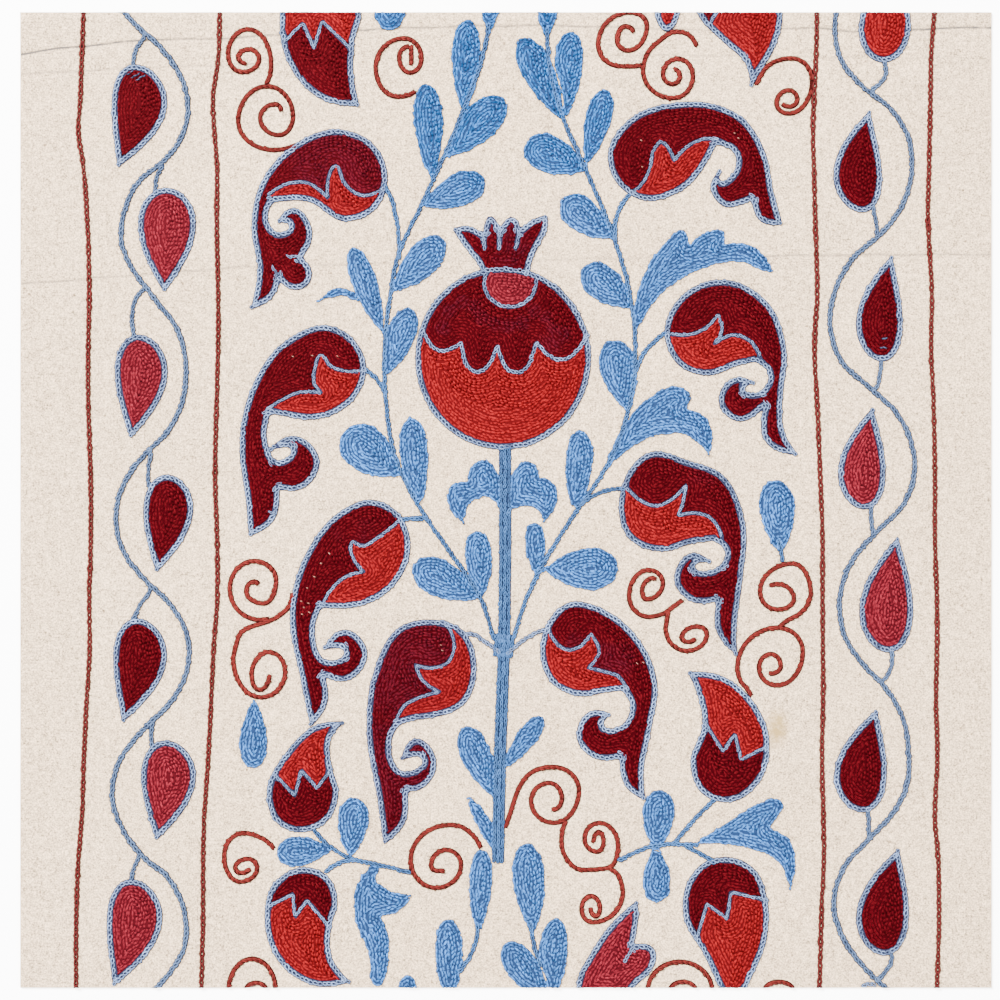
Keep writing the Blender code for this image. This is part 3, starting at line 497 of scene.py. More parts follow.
colour = blended(floss, lit, colour, given.outputs["Painted highlight"])
dark = times(floss, less(floss, 1.0, rise), less(floss, SHADED, tone))
colour = blended(floss, times(floss, dark, SHADE_DEPTH), colour, given.outputs["Painted shade"])
strands = noise(floss, thread, 1.0, stretch=STRANDS)
rough = plus(floss, times(floss, strands, STRAND_ROUGH), SMOOTHEST)
join(floss, (colour, made.inputs["Color"]), (strands, made.inputs["Height"]),
     (rough, made.inputs["Roughness"]))

silks = []
for name, *colours in SILKS:
    dyed = bpy.data.materials.new(name)
    dyed.use_nodes = True
    tree = dyed.node_tree
    shader = tree.nodes["Principled BSDF"]
    shader.inputs["Specular IOR Level"].default_value = 0.10
    shader.inputs["Specular Tint"].default_value = (*(c / max(colours[2]) for c in colours[2]), 1)
    strand = use(tree, floss)
    for socket, value in zip(strand.inputs, colours):
        socket.default_value = (*value, 1)
    bump = node(tree, "ShaderNodeBump", sockets={"Strength": 0.5, "Distance": 0.00005})
    join(tree, (strand.outputs["Color"], shader.inputs["Base Color"]),
         (strand.outputs["Roughness"], shader.inputs["Roughness"]),
         (strand.outputs["Height"], bump.inputs["Height"]),
         (bump.outputs[0], shader.inputs["Normal"]))
    silks.append(dyed)

# One link of chain stitch: a loop of thread, narrow at its root, wide past its middle. The links
# of a filling and of a scroll are drawn so tight that their eyes close; in the other rows they
# show.
def loop_line(share, half):
    """The middle of a link's thread at a share of its way round, from its root: along, across."""
    along = (1 - math.cos(2 * math.pi * share)) / 2
    return np.array([along * LINK_REACH,
                     half * math.sin(2 * math.pi * share) * (0.30 + 0.70 * along) ** 0.8])


def link_shape(half, strand, bends=7):
    """A link's corners (along its row in spans, across in widths, and up), faces and UVs."""
    bpy.ops.mesh.primitive_torus_add(major_segments=bends, minor_segments=STRAND_SIDES,
                                     major_radius=1, minor_radius=0.4)
    ring = bpy.context.object
    faces = np.array([face.vertices for face in ring.data.polygons])
    uvs = np.array([corner.uv for corner in ring.data.uv_layers[0].data])
    bpy.data.objects.remove(ring)
    places = []
    for corner in range(bends * STRAND_SIDES):
        bend, side = divmod(corner, STRAND_SIDES)
        share = bend / bends
        way = loop_line(share + 0.01, half) - loop_line(share - 0.01, half)
        way /= np.linalg.norm(way * (1, 0.8))
        around = math.pi / 2 + 2 * math.pi * side / STRAND_SIDES
        spot = loop_line(share, half) + np.array([way[1], -way[0]]) * strand * math.cos(around)
        places.append((*spot, 0.5 * math.sin(around)))
    return np.array(places), faces, uvs


# The link's shape, how far it is turned on its row, and how unevenly it is sewn.
FILLING = link_shape(0.19, 0.26, 5), 0.12, 2.8
LINE = link_shape(0.33, 0.21), 0.26, 2.3
STALK = link_shape(0.28, 0.24), 0.26, 2.0
OPEN = link_shape(0.34, 0.215), 0.0, 0.8
ROPE = link_shape(0.22, 0.27), 0.30, 1.3


def smooth(points, spacing=SPACING, corners=(), closed=False):
    """A curve through the points, sharp at the corners, with about `spacing` between points."""
    places = [np.array(p[:2], float) for p in points]
    count = len(places)
    out = []
    for i in range(count if closed else count - 1):
        start, end = places[i], places[(i + 1) % count]
        chord = np.linalg.norm(end - start)
        first = i in corners or (not closed and i == 0)
        last = (i + 1) % count in corners or (not closed and i == count - 2)
        leave = end - start if first else heading(places[i - 1], start, end, chord)
        arrive = end - start if last else heading(start, end, places[(i + 2) % count], chord)
        if first and not last:
            leave = 1.5 * (end - start) - 0.5 * arrive
        if last and not first:
            arrive = 1.5 * (end - start) - 0.5 * leave
        spread = np.dot(leave, arrive) / np.linalg.norm(leave) / np.linalg.norm(arrive)
        bend = math.acos(max(-1, min(1, spread)))
        pieces = max(1, round(chord / spacing), round(bend / BEND_STEP))
        for t in np.arange(pieces) / pieces:
            out.append(start * (1 + 2 * t) * (1 - t) ** 2 + leave * t * (1 - t) ** 2
                       + end * t * t * (3 - 2 * t) + arrive * t * t * (t - 1))
    if not closed:
        out.append(places[-1])
    return np.array(out)


def heading(before, here, after, chord):
    """The curve's direction at `here`, as long as the chord it leaves or meets."""
    back, ahead = np.linalg.norm(here - before), np.linalg.norm(after - here)
    way = (here - before) / back * ahead + (after - here) / ahead * back
    return way / max(np.linalg.norm(way), 1e-9) * chord


def teardrop(point, round_end, width, bend=0, steps=16, taper=1):
    """A drop or a leaf: pointed at one end, round at the other, bent to the right by `bend`.

    Under a taper of 1 it is fuller towards its point.
    """
    point, round_end = np.array(point, float), np.array(round_end, float)
    along = round_end - point
    across = np.array([-along[1], along[0]]) / np.linalg.norm(along)
    rise = np.linspace(0, 1, steps)[1:-1]
    cap = np.sin(np.linspace(0, math.pi / 2, steps - 2))
    places = np.concatenate([rise * BELLY, BELLY + (1 - BELLY) * cap])
    half = np.where(places < BELLY, np.sin(math.pi / 2 * np.minimum(places / BELLY, 1)) ** taper,
                    np.sqrt(np.maximum(0, 1 - ((places - BELLY) / (1 - BELLY)) ** 2))) * width / 2
    axis = point + places[:, None] * along
    axis[:, 0] += bend * np.sin(math.pi * places) ** 0.8
    right, left = axis + half[:, None] * across, axis - half[:, None] * across
    return np.concatenate([[point], right, left[:-1][::-1]])


def band(line, width):
    """The loop round a row of the given width."""
    ways = np.gradient(line, axis=0)
    ways /= np.linalg.norm(ways, axis=1)[:, None]
    side = np.stack([-ways[:, 1], ways[:, 0]], axis=1) * width / 2
    return np.concatenate([line + side, (line - side)[::-1]])


def within(points, loop):
    """Which of the points lie inside a loop, counted by how often it winds round them."""
    winds = np.zeros(len(points), int)
    x, y = points[:, 0], points[:, 1]
    for (ax, ay), (bx, by) in zip(loop, np.roll(loop, -1, axis=0)):
        side = (bx - ax) * (y - ay) - (x - ax) * (by - ay)
        winds += ((ay <= y) & (by > y) & (side > 0)).astype(int)
        winds -= ((ay > y) & (by <= y) & (side < 0)).astype(int)
    return winds != 0


def chart_of(loops, margin=4):
    """The squares of the chart that hold the loops, and how many rows and columns they make."""
    low = np.floor(np.min([loop.min(0) for loop in loops], axis=0)) - margin
    high = np.ceil(np.max([loop.max(0) for loop in loops], axis=0)) + margin
    columns, rows = np.arange(low[0], high[0] + 1), np.arange(low[1], high[1] + 1)
    squares = np.stack(np.meshgrid(columns, rows), axis=-1)
    return squares.reshape(-1, 2), (len(rows), len(columns))


def depth(loop, squares):
    """How deep each square lies inside a loop, in steps; below 0 outside it."""
    nearest = np.full(len(squares), np.inf)
    for a, b in zip(loop, np.roll(loop, -1, axis=0)):
        way = b - a
        share = np.clip((squares - a) @ way / max(way @ way, 1e-12), 0, 1)
        gap = squares - a - share[:, None] * way
        nearest = np.minimum(nearest, gap[:, 0] ** 2 + gap[:, 1] ** 2)
    return np.where(within(squares, loop), 1, -1) * np.sqrt(nearest)


taken = []  # loops that are sewn already: later rows stop at them


def free_depth(loops, squares, clear=0.5):
    """The same for several loops joined, less what is sewn already."""
    deep = np.max([depth(loop, squares) for loop in loops], axis=0)
    for other in taken:
        if (other.min(0) < squares.max(0)).all() and (other.max(0) > squares.min(0)).all():
            deep = np.minimum(deep, -depth(other, squares) - clear)
    return deep


def level_lines(depths, squares, shape, level):
    """Closed lines along which the depth has the level."""
    field = depths.reshape(shape) - level
    high, wide = shape
    size = high * wide
    over = field > 0
    cross = {}
    for step, offset in (((0, 1), 0), ((1, 0), size)):
        a, b = field[:high - step[0], :wide - step[1]], field[step[0]:, step[1]:]
        rows, columns = np.nonzero((a > 0) != (b > 0))
        share = a[rows, columns] / (a[rows, columns] - b[rows, columns])
        start = squares[rows * wide + columns]
        spots = start + share[:, None] * np.array([step[1], step[0]])
        cross.update(zip((offset + rows * wide + columns).tolist(), spots))
    links = {}
    corner = over[:-1, :-1] + 2 * over[:-1, 1:] + 4 * over[1:, 1:] + 8 * over[1:, :-1]
    for row, column in zip(*np.nonzero((corner > 0) & (corner < 15))):
        first = int(row * wide + column)
        sides = [(first, over[row, column] != over[row, column + 1]),
                 (size + first + 1, over[row, column + 1] != over[row + 1, column + 1]),
                 (first + wide, over[row + 1, column] != over[row + 1, column + 1]),
                 (size + first, over[row, column] != over[row + 1, column])]
        met = [side for side, crossed in sides if crossed]
        if len(met) == 4:
            middle = field[row:row + 2, column:column + 2].sum() > 0
            met = met if middle == over[row, column] else met[-1:] + met[:-1]
        for a, b in zip(met[::2], met[1::2]):
            links.setdefault(a, []).append(b)
            links.setdefault(b, []).append(a)
    lines = []
    while links:
        start = here = next(iter(links))
        trail = [start]
        while links.get(here):
            ahead = links[here].pop()
            links[ahead].remove(here)
            if not links[here]:
                del links[here]
            here = ahead
            trail.append(here)
            if here == start:
                break
        if not links.get(here):
            links.pop(here, None)
        lines.append(np.array([cross[i] for i in trail]))
    return lines


def even(line, spacing, closed=False, soften=2):
    """A line with its points the same distance apart, softened a little."""
    if closed and np.linalg.norm(line[0] - line[-1]) > 1e-6:
        line = np.concatenate([line, line[:1]])
    gaps = np.linalg.norm(np.diff(line, axis=0), axis=1)
    far = np.concatenate([[0], np.cumsum(gaps)])
    if closed and soften:
        fine = np.linspace(0, far[-1], max(12, int(far[-1] / 1.2)), endpoint=False)
        points = np.stack([np.interp(fine, far, line[:, i]) for i in (0, 1)], axis=1)
        for _ in range(soften):
            points = (np.roll(points, 1, 0) + 2 * points + np.roll(points, -1, 0)) / 4
        line = np.concatenate([points, points[:1]])
        far = np.concatenate([[0], np.cumsum(np.linalg.norm(np.diff(line, axis=0), axis=1))])
    count = max(1, round(far[-1] / spacing))
    places = np.linspace(0, far[-1], count + 1)
    return np.stack([np.interp(places, far, line[:, i]) for i in (0, 1)], axis=1)


def fresh():
    """The rows and the layers of a piece, none sewn yet."""
    return {"links": [], "plates": []}


def on_cloth(chart, heights):
    """A table of places on the chart as places on the cloth, in metres."""
    places = np.empty((*chart.shape[:-1], 3))
    places[..., 0] = (chart[..., 0] - MID_COLUMN) * STEP
    places[..., 1] = (MID_ROW - chart[..., 1]) * STEP
    places[..., 2] = heights
    return places


def chain(work, silk, line, width, span, closed=False, lift=0.0, inside=None, link=LINE):
    """A row of chain stitch along a line; where it meets what is sewn already, it stops."""
    points = even(np.asarray(line, float), span, closed)
    if link is FILLING:
        points[1:-1] += dice.normal(0, WAVER, points[1:-1].shape)
    roots, ways = points[:-1], np.diff(points, axis=0)
    middles = roots + ways / 2
    ends = [middles] if link is FILLING else [roots, points[1:]]  # a line runs on to its neighbour
    keep = ((middles > (LEFT - 1, TOP - 1)) & (middles < (RIGHT + 1, BOTTOM + 1))).all(axis=1)
    keep &= np.linalg.norm(ways, axis=1) > 0.1  # a tiny ring has no length
    for loop in taken:
        near = (middles > loop.min(0) - 3).all(axis=1) & (middles < loop.max(0) + 3).all(axis=1)
        if near.any():
            keep[near] &= ~np.all([within(end[near], loop) for end in ends], axis=0)
    if inside is not None:
        keep &= within(middles, inside)
    work["links"].append((silk, roots[keep], ways[keep], width, lift, link))


def bed(work, silk, line, width):
    """A flat ribbon of thread under a row, in painted shade where it shows in the stitches' eyes.
    """
    loop, count = band(line, width), len(line)
    sides = np.clip([loop[:count], loop[count:][::-1]], (LEFT, TOP), (RIGHT, BOTTOM))
    low = CLOTH_TOP - BED_SUNK
    places = on_cloth(sides[[0, 1, 1, 0]].transpose(1, 0, 2), (BED_TOP, BED_TOP, low, low))
    walls = [(4 * i + k, 4 * i + 4 + k, 4 * i + 4 + (k + 1) % 4, 4 * i + (k + 1) % 4)
             for i in range(count - 1) for k in range(4)]
    last = 4 * count - 4
    walls += [(0, 1, 2, 3), (last + 3, last + 2, last + 1, last)]
    faces = np.array([half for a, b, c, d in walls for half in ((a, b, c), (a, c, d))])
    work["plates"].append((silk, places.reshape(-1, 3), faces))


EDGE_CLEAR = 0.3  # how far a layer keeps from the cloth's cut edge, in steps
WELD = 0.00001


def plate(work, silk, depths, squares, shape, level, top, spacing=5.0):
    """A thin layer of thread under the stitches, in painted shade, cut to the depth's level line.
    """
    edge = np.minimum(squares - (LEFT, TOP), (RIGHT, BOTTOM) - squares).min(axis=1)
    depths = np.minimum(depths, edge + level - EDGE_CLEAR)
    curve = bpy.data.curves.new("layer", "CURVE")
    curve.dimensions = "2D"
    curve.fill_mode = "BOTH"
    curve.extrude = (top - CLOTH_TOP) / 2
    for line in level_lines(depths, squares, shape, level):
        points = even(line, spacing, closed=True, soften=0)[:-1]
        if len(points) < 4:
            continue
        spline = curve.splines.new("POLY")
        spline.points.add(len(points) - 1)
        spline.use_cyclic_u = True
        for spot, (column, row) in zip(spline.points, points):
            spot.co = (*at(column, row, 0), 1)
    if not curve.splines:
        bpy.data.curves.remove(curve)
        return
    layer = bpy.data.objects.new("layer", curve)
    bpy.context.scene.collection.objects.link(layer)
    shown = layer.evaluated_get(bpy.context.evaluated_depsgraph_get())
    cut = bpy.data.meshes.new_from_object(shown)
    flat = bmesh.new()
    flat.from_mesh(cut)
    bmesh.ops.remove_doubles(flat, verts=flat.verts, dist=WELD)
    bmesh.ops.triangulate(flat, faces=flat.faces)
    bmesh.ops.recalc_face_normals(flat, faces=flat.faces)
    flat.to_mesh(cut)
    flat.free()
    places = np.array([tuple(vert.co) for vert in cut.vertices])
    places[:, 2] += (top + CLOTH_TOP) / 2
    faces = np.array([tuple(face.vertices) for face in cut.polygons])
    work["plates"].append((silk, places, faces))
    bpy.data.objects.remove(layer)
    bpy.data.curves.remove(curve)
    bpy.data.meshes.remove(cut)


def cover(bare, line, squares, reach):
    """Marks the squares within reach of a row as covered."""
    high, wide = bare.shape
    columns, rows = np.rint(even(line, 1.0, closed=True) - squares[0]).astype(int).T
    for right in range(-reach, reach + 1):
        for down in range(-reach, reach + 1):
            if abs(right) + abs(down) <= reach:
                bare[np.clip(rows + down, 0, high - 1),
                     np.clip(columns + right, 0, wide - 1)] = False


MID_BACK, EDGE_BACK = 0.5, 0.35  # the share of a single stitch that lies behind its spot


def darn(work, silk, bare, depths, squares, width, span, link):
    """Single stitches over what the rows leave bare, along the middle and in sharp corners."""
    slope = np.gradient(depths.reshape(bare.shape))
    lean = slope[1] + 1j * slope[0]
    turned = sum(np.roll(lean ** 2, (i, j), (0, 1)) for i in range(-2, 3) for j in range(-2, 3))
    lean = sum(np.roll(lean, (i, j), (0, 1)) for i in range(-2, 3) for j in range(-2, 3)) / 25
    spots = []
    for row, column in sorted(np.argwhere(bare).tolist(),
                              key=lambda spot: -depths[spot[0] * bare.shape[1] + spot[1]]):
        spot = squares[row * bare.shape[1] + column]
        if all(abs(spot - other[0]).sum() > width for other in spots):
            angle = np.angle(turned[row, column]) / 2 + math.pi / 2
            way = np.array([math.cos(angle), math.sin(angle)]) * span
            inward = way @ (lean[row, column].real, lean[row, column].imag) / span
            back = MID_BACK + abs(inward) * EDGE_BACK
            spots.append((spot, -way if inward > 0 else way, back))
    for spot, way, back in spots:  # a stitch at an edge starts further in and ends at the edge
        chain(work, silk, [spot - way * back, spot + way * (1 - back)], width, span, link=link)


TIP_ROW = 8  # the short row that ends in a sharp corner, in steps
SHARP = 1.45  # a corner is sharp where the two ways out of it, of length 1, add up to more


def tips(loops, short):
    """A row into each sharp corner that points out of a motif, ending `short` of its tip."""
    for loop in loops:
        back, ahead = np.roll(loop, 1, axis=0) - loop, np.roll(loop, -1, axis=0) - loop
        inward = sum(way / np.maximum(np.linalg.norm(way, axis=1), 1e-9)[:, None]
                     for way in (back, ahead))
        sharp = (np.linalg.norm(inward, axis=1) > SHARP) & within(loop + inward, loop)
        for other in loops:
            sharp &= (other is loop) | ~within(loop, other)
        for tip, way in zip(loop[sharp], inward[sharp]):
            way = way / np.linalg.norm(way)
            yield np.array([tip + way * TIP_ROW, tip + way * short])


CLOSE = 1.3  # a filling row's width, in distances between the rows, so that they overlap
SHORTEST_RING = 1.6  # the shortest closed row, in spans


def fill(work, silk, depths, squares, shape, loops=()):
    """Filling rows that follow the edge of an area inwards, each against the last."""
    bare = (depths > 0.5).reshape(shape)
    for row in tips(loops, 0.8):
        chain(work, silk, row, FILL_WIDTH * 1.2, FILL_SPAN * 0.8, link=FILLING)
        cover(bare, row, squares, 2)
    for i in range(math.ceil(depths.max() / FILL_WIDTH)):
        for line in level_lines(depths, squares, shape, FILL_WIDTH * (i + 0.5)):
            if np.linalg.norm(np.diff(line, axis=0), axis=1).sum() < SHORTEST_RING * FILL_SPAN:
                continue
            chain(work, silk, line, FILL_WIDTH * CLOSE, FILL_SPAN, closed=True, link=FILLING)
            cover(bare, even(line, FILL_SPAN, closed=True), squares, 2)
    darn(work, silk, bare, depths, squares, FILL_WIDTH * 1.1, FILL_SPAN, FILLING)


# How unevenly links are sewn. The first four grow with how loosely the kind of row is sewn.
TURN_SPREAD, SLIP_SPREAD, SPAN_SPREAD, HEIGHT_SPREAD = 0.06, 0.13, 0.05, 0.07
WIDTH_SPREAD, TONE_SPREAD, ROW_TONE_SPREAD = 0.08, 0.13, 0.06
UNDER_SHADE_TONE = 0.25  # the layers of thread under the links take the painted shade almost wholly
SPOT_FULL, SPOT_FALL = 1.6, 1.3  # a spot of the second dye fades outwards from its middle
SPOT_DYE, NO_DYE = 0.6, 0.25


def sewn(work, name, nodes, slot, spots=()):
    """The finished piece: its links and the layers under them in one mesh, on the cloth."""
    chunks = []
    for silk, roots, ways, width, lift, ((link, faces, uvs), twist, loose) in work["links"]:
        count = len(roots)
        spans = np.linalg.norm(ways, axis=1)
        ways = ways / spans[:, None]
        turn = dice.normal(twist, TURN_SPREAD * loose, count)
        middles = roots + ways * (spans * LINK_REACH / 2)[:, None]
        ways = np.stack([ways[:, 0] * np.cos(turn) - ways[:, 1] * np.sin(turn),
                         ways[:, 0] * np.sin(turn) + ways[:, 1] * np.cos(turn)], axis=1)
        sides = np.stack([-ways[:, 1], ways[:, 0]], axis=1)
        roots = (middles - ways * (spans * LINK_REACH / 2)[:, None]
                 + sides * dice.normal(0, SLIP_SPREAD * loose, count)[:, None])
        spans = spans * dice.normal(1.0, SPAN_SPREAD * loose, count)
        widths = width * np.clip(dice.normal(1.0, WIDTH_SPREAD, count), 0.8, 1.2)
        heights = THREAD * np.clip(dice.normal(1.0, HEIGHT_SPREAD * loose, count), 0.75, 1.25)
        row_tone = 0.5 + dice.normal(0, ROW_TONE_SPREAD)
        tones = np.clip(dice.normal(row_tone, TONE_SPREAD, count), 0, 1)
        along, across, up = link.T
        chart = (roots[:, None] + ways[:, None] * (spans[:, None] * along)[..., None]
                 + sides[:, None] * (widths[:, None] * across)[..., None])
        chart = np.clip(chart, (LEFT, TOP), (RIGHT, BOTTOM))  # cut off with the cloth
        places = on_cloth(chart, (LINK_LOW + lift + LINK_RISE * along / LINK_REACH
                                  + heights[:, None] * up))
        faces = faces[None] + np.arange(count)[:, None, None] * len(along)
        # A strand's top corner takes the painted highlight, its lower corners the painted shade.
        chunks.append((silk, places.reshape(-1, 3), faces[:, :, ::-1].reshape(-1, 4),
                       np.repeat(tones, len(along)), np.tile((up > 0.2).astype(float), count),
                       np.tile(uvs.reshape(-1, 4, 2)[:, ::-1].reshape(-1, 2), (count, 1))))
    for silk, places, faces in work["plates"]:
        chunks.append((silk, places, faces, np.full(len(places), UNDER_SHADE_TONE),
                       np.zeros(len(places)), np.zeros((faces.size, 2))))
    silk_of, places, faces, tones, rises, uvs = zip(*chunks)
    starts = np.cumsum([0] + [len(part) for part in places])
    corners = np.concatenate([(part + start).ravel() for part, start in zip(faces, starts)])
    sizes = np.concatenate([np.full(len(part), part.shape[1]) for part in faces])
    used = sorted(set(silk_of))
    slots = np.concatenate([np.full(len(part), used.index(one))
                            for one, part in zip(silk_of, faces)])
    places, tones, rises, uvs = [np.concatenate(part) for part in (places, tones, rises, uvs)]
    mesh = bpy.data.meshes.new(name)
    mesh.vertices.add(len(places))
    mesh.vertices.foreach_set("co", places.astype(np.float32).ravel())
    mesh.loops.add(len(corners))
    mesh.loops.foreach_set("vertex_index", corners.astype(np.int32))
    mesh.polygons.add(len(sizes))
    firsts = np.concatenate([[0], np.cumsum(sizes)[:-1]])
    mesh.polygons.foreach_set("loop_start", firsts.astype(np.int32))
    for silk in used:
        mesh.materials.append(silks[silk])
    mesh.polygons.foreach_set("material_index", slots.astype(np.int32))
    mesh.polygons.foreach_set("use_smooth", sizes == 4)
    wrap = mesh.uv_layers.new(name="thread")
    wrap.data.foreach_set("uv", uvs.astype(np.float32).ravel())
    chart = np.stack([places[:, 0] / STEP + MID_COLUMN, MID_ROW - places[:, 1] / STEP], axis=1)
    second = np.zeros(len(places))
    for column, row, reach, strength in spots:
        far = np.linalg.norm(chart - (column, row), axis=1)
        fade = np.clip(SPOT_FULL - SPOT_FALL * far / reach, 0, 1)
        second = np.maximum(second, strength * fade)
    dyes = second * SPOT_DYE - NO_DYE
    for label, values in (("tone", tones), ("rise", rises), ("dye", dyes)):
        mesh.attributes.new(label, "FLOAT", "POINT").data.foreach_set(
            "value", values.astype(np.float32))
    mesh.update(calc_edges=True)
    mesh.validate()
    piece = bpy.data.objects.new(name, mesh)
    bpy.context.scene.collection.objects.link(piece)
    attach(piece, "root")
    if nodes:
        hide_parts(*nodes)
    return piece


LAYER_IN = 0.8  # how far a layer of thread keeps inside the edge of its stitches
FILL_LAYER_IN = 0.2
RUN_ON = 1.5  # how far an open-ended motif runs on under its neighbour


def outlined(work, loops, silk, zones=(), open_ended=False):
    """A motif with its blue outline, its zones (silk, loop) and one silk for the rest of it."""
    squares, shape = chart_of(loops)
    free = whole = free_depth(loops, squares)
    if open_ended:  # with no outline row where it meets its neighbour
        free = free_depth(loops, squares, -RUN_ON)
        whole = np.max([depth(loop, squares) for loop in loops], axis=0)
    plate(work, PALE_BLUE, free, squares, shape, LAYER_IN - LINE_OUT, LINE_LAYER_TOP)
    bare = ((free > 1.7 - LINE_OUT / 2) & (whole < LINE_WIDTH)).reshape(shape)
    for line in level_lines(whole, squares, shape, (LINE_WIDTH - LINE_OUT) / 2):
        chain(work, PALE_BLUE, line, (LINE_WIDTH + LINE_OUT) * 1.08, LINE_SPAN, closed=True)
        cover(bare, even(line, LINE_SPAN, closed=True), squares, 4)
    for row in tips(loops, 1.2):
        chain(work, PALE_BLUE, row, LINE_WIDTH * 1.1, LINE_SPAN * 0.72)
        cover(bare, row, squares, 3)
    darn(work, PALE_BLUE, bare, whole, squares, LINE_WIDTH * 0.8, LINE_SPAN, LINE)
    rest = whole - LINE_WIDTH
    areas = []
    for zone_silk, zone in zones:
        inside = depth(zone, squares)
        areas.append((zone_silk, np.minimum(rest, inside - SEAM_WIDTH / 2)))
        rest = np.minimum(rest, -inside - SEAM_WIDTH / 2)
    for area_silk, area in (*areas, (silk, rest)):
        if area.max() > 0.8 and area_silk is not None:
            plate(work, area_silk, np.minimum(area, free - 0.5), squares, shape, FILL_LAYER_IN,
                  FILL_LAYER_TOP)
            fill(work, area_silk, area, squares, shape)
    taken.extend(loops)


def stalk_row(work, silk, line):
    """A stalk: one row of chain stitch over a ribbon of thread."""
    chain(work, silk, line, STALK_WIDTH, LINE_SPAN, link=STALK)
    bed(work, silk, line, STALK_WIDTH * STALK_BED)
    taken.append(band(line, STALK_WIDTH * STALK_BED))


def push_out(loop, start, end, by):
    """The part of a loop from one index to the next, moved outwards."""
    count = (end - start) % len(loop)
    index = (start + np.arange(count + 1)) % len(loop)
    way = np.roll(loop, -1, axis=0) - np.roll(loop, 1, axis=0)
    way /= np.maximum(np.linalg.norm(way, axis=1), 1e-9)[:, None]
    area = np.sum(loop[:, 0] * np.roll(loop[:, 1], -1) - np.roll(loop[:, 0], -1) * loop[:, 1])
    out = np.stack([way[:, 1], -way[:, 0]], axis=1) * np.sign(area)
    return (loop + out * by)[index]


for name, places in PAISLEYS:
    work = fresh()
    corners = tuple(PAISLEY_PLACES.index(corner) for corner in PAISLEY_CORNERS)
    body = smooth(places, corners=corners, closed=True)
    parting = PARTINGS[name]
    seam = smooth(parting, SEAM_SPACING, tuple(i for i, p in enumerate(parting) if len(p) == 3))
    neck, head = [np.argmin(np.linalg.norm(body - end, axis=1)) for end in (seam[0], seam[-1])]
    lobe = np.concatenate([seam, push_out(body, head, neck, 3)])
    chain(work, PALE_BLUE, seam, SEAM_WIDTH, SEAM_SPAN, lift=LOW_LIFT, inside=body)
    for tick in TICKS.get(name, ()):
        chain(work, PALE_BLUE, tick, SEAM_WIDTH, LINE_SPAN, lift=HIGH_LIFT)
    for start in SPECKS.get(name, ()):
        chain(work, PALE_RED, (start, np.add(start, PALE_END_WAY)), PALE_END_WIDTH, PALE_END_SPAN,
              lift=HIGH_LIFT, link=FILLING)
    tail_lobe = [teardrop(*TAIL_LOBES[name])] if name in TAIL_LOBES else []
    outlined(work, [body, *tail_lobe], CRIMSON, [(SCARLET, lobe)])
    if name in LINK_STALKS:
        stalk_row(work, PALE_BLUE, smooth(LINK_STALKS[name]))
    sewn(work, name + "_stitched", [name], "crimson_silk", PLUM.get(name, ()))


# The buds: eight, in the same silks and outline as the paisleys. A zigzag row parts the two reds;
# the forked bud at the bottom edge and the small one at the top edge are all one red.
BUDS = (
    ("bud_left_1", (
        (344, 722), (320, 724), (286, 753), (267, 797), (277, 823), (300, 832), (326, 822),
        (338, 795), (330, 762), (331, 737)),
     SCARLET, ((270, 770), (295, 796), (301, 770), (317, 788), (332, 768)), CRIMSON),
    ("bud_left_2", (
        (350, 982), (331, 957), (331, 925), (337, 902), (328, 877), (301, 868), (273, 885),
        (265, 918), (280, 963), (318, 986)),
     CRIMSON, ((268, 907), (293, 894), (295, 917), (307, 900), (330, 928)), SCARLET),
    ("bud_right_1", (
        (688, 672), (718, 675), (750, 698), (769, 741), (757, 785), (729, 802), (702, 793),
        (691, 764), (703, 724), (698, 694)),
     SCARLET, ((703, 720), (723, 751), (735, 734), (741, 760), (766, 747)), CRIMSON),
    ("bud_right_2", (
        (731, 1016), (703, 952), (685, 920), (688, 882), (706, 862), (731, 858), (754, 869),
        (766, 895), (767, 935), (748, 984)),
     CRIMSON, ((696, 941), (707, 904), (727, 919), (731, 892), (766, 900)), SCARLET),
    ("bud_top_left", (
        (359, 106), (353, 75), (354, 40), (361, 10), (345, -20), (318, -32), (290, -18),
        (280, 20), (291, 68), (322, 99)),
     SCARLET, ((284, 42), (303, 23), (314, 48), (322, 21), (350, 48)), CRIMSON),
    ("bud_top_right", (
        (751, 87), (746, 63), (724, 42), (696, 10), (692, -20), (730, -44), (768, -26),
        (782, 8), (774, 48), (761, 70)),
     CRIMSON, ((705, 30), (717, 12), (724, -4), (730, -8)), SCARLET),
)
FORKED_BUD = (
    (637, 901, True), (638, 914), (633, 945, True), (642, 944), (652, 947), (656, 958), (650, 972),
    (634, 987), (628, 1000, True), (576, 1000, True), (578, 979), (592, 952), (611, 925))
FORK = ((634, 946), (624, 962))
SMALL_BUD = ((667, -62), (667, 31), 27)
BESIDE, OVER = 60, 110  # the area above a zigzag reaches this far past its bud
for name, places, above_silk, zigzag, silk in BUDS:
    work = fresh()
    body = smooth(places, corners=(0,), closed=True)
    seam = smooth(zigzag, SEAM_SPACING, tuple(range(len(zigzag))))
    (first, high), (last, low) = zigzag[0], zigzag[-1]
    above = np.concatenate([seam, [(last + BESIDE, low), (last + BESIDE, low - OVER),
                                   (first - BESIDE, low - OVER), (first - BESIDE, high)]])
    chain(work, PALE_BLUE, seam, SEAM_WIDTH, SEAM_SPAN, lift=LOW_LIFT, inside=body)
    outlined(work, [body], silk, [(above_silk, above)])
    sewn(work, name + "_stitched", [name], "scarlet_silk")


def lobed(places):
    """A closed outline with the corners that the table marks."""
    return smooth(places, corners=tuple(i for i, p in enumerate(places) if len(p) == 3),
                  closed=True)


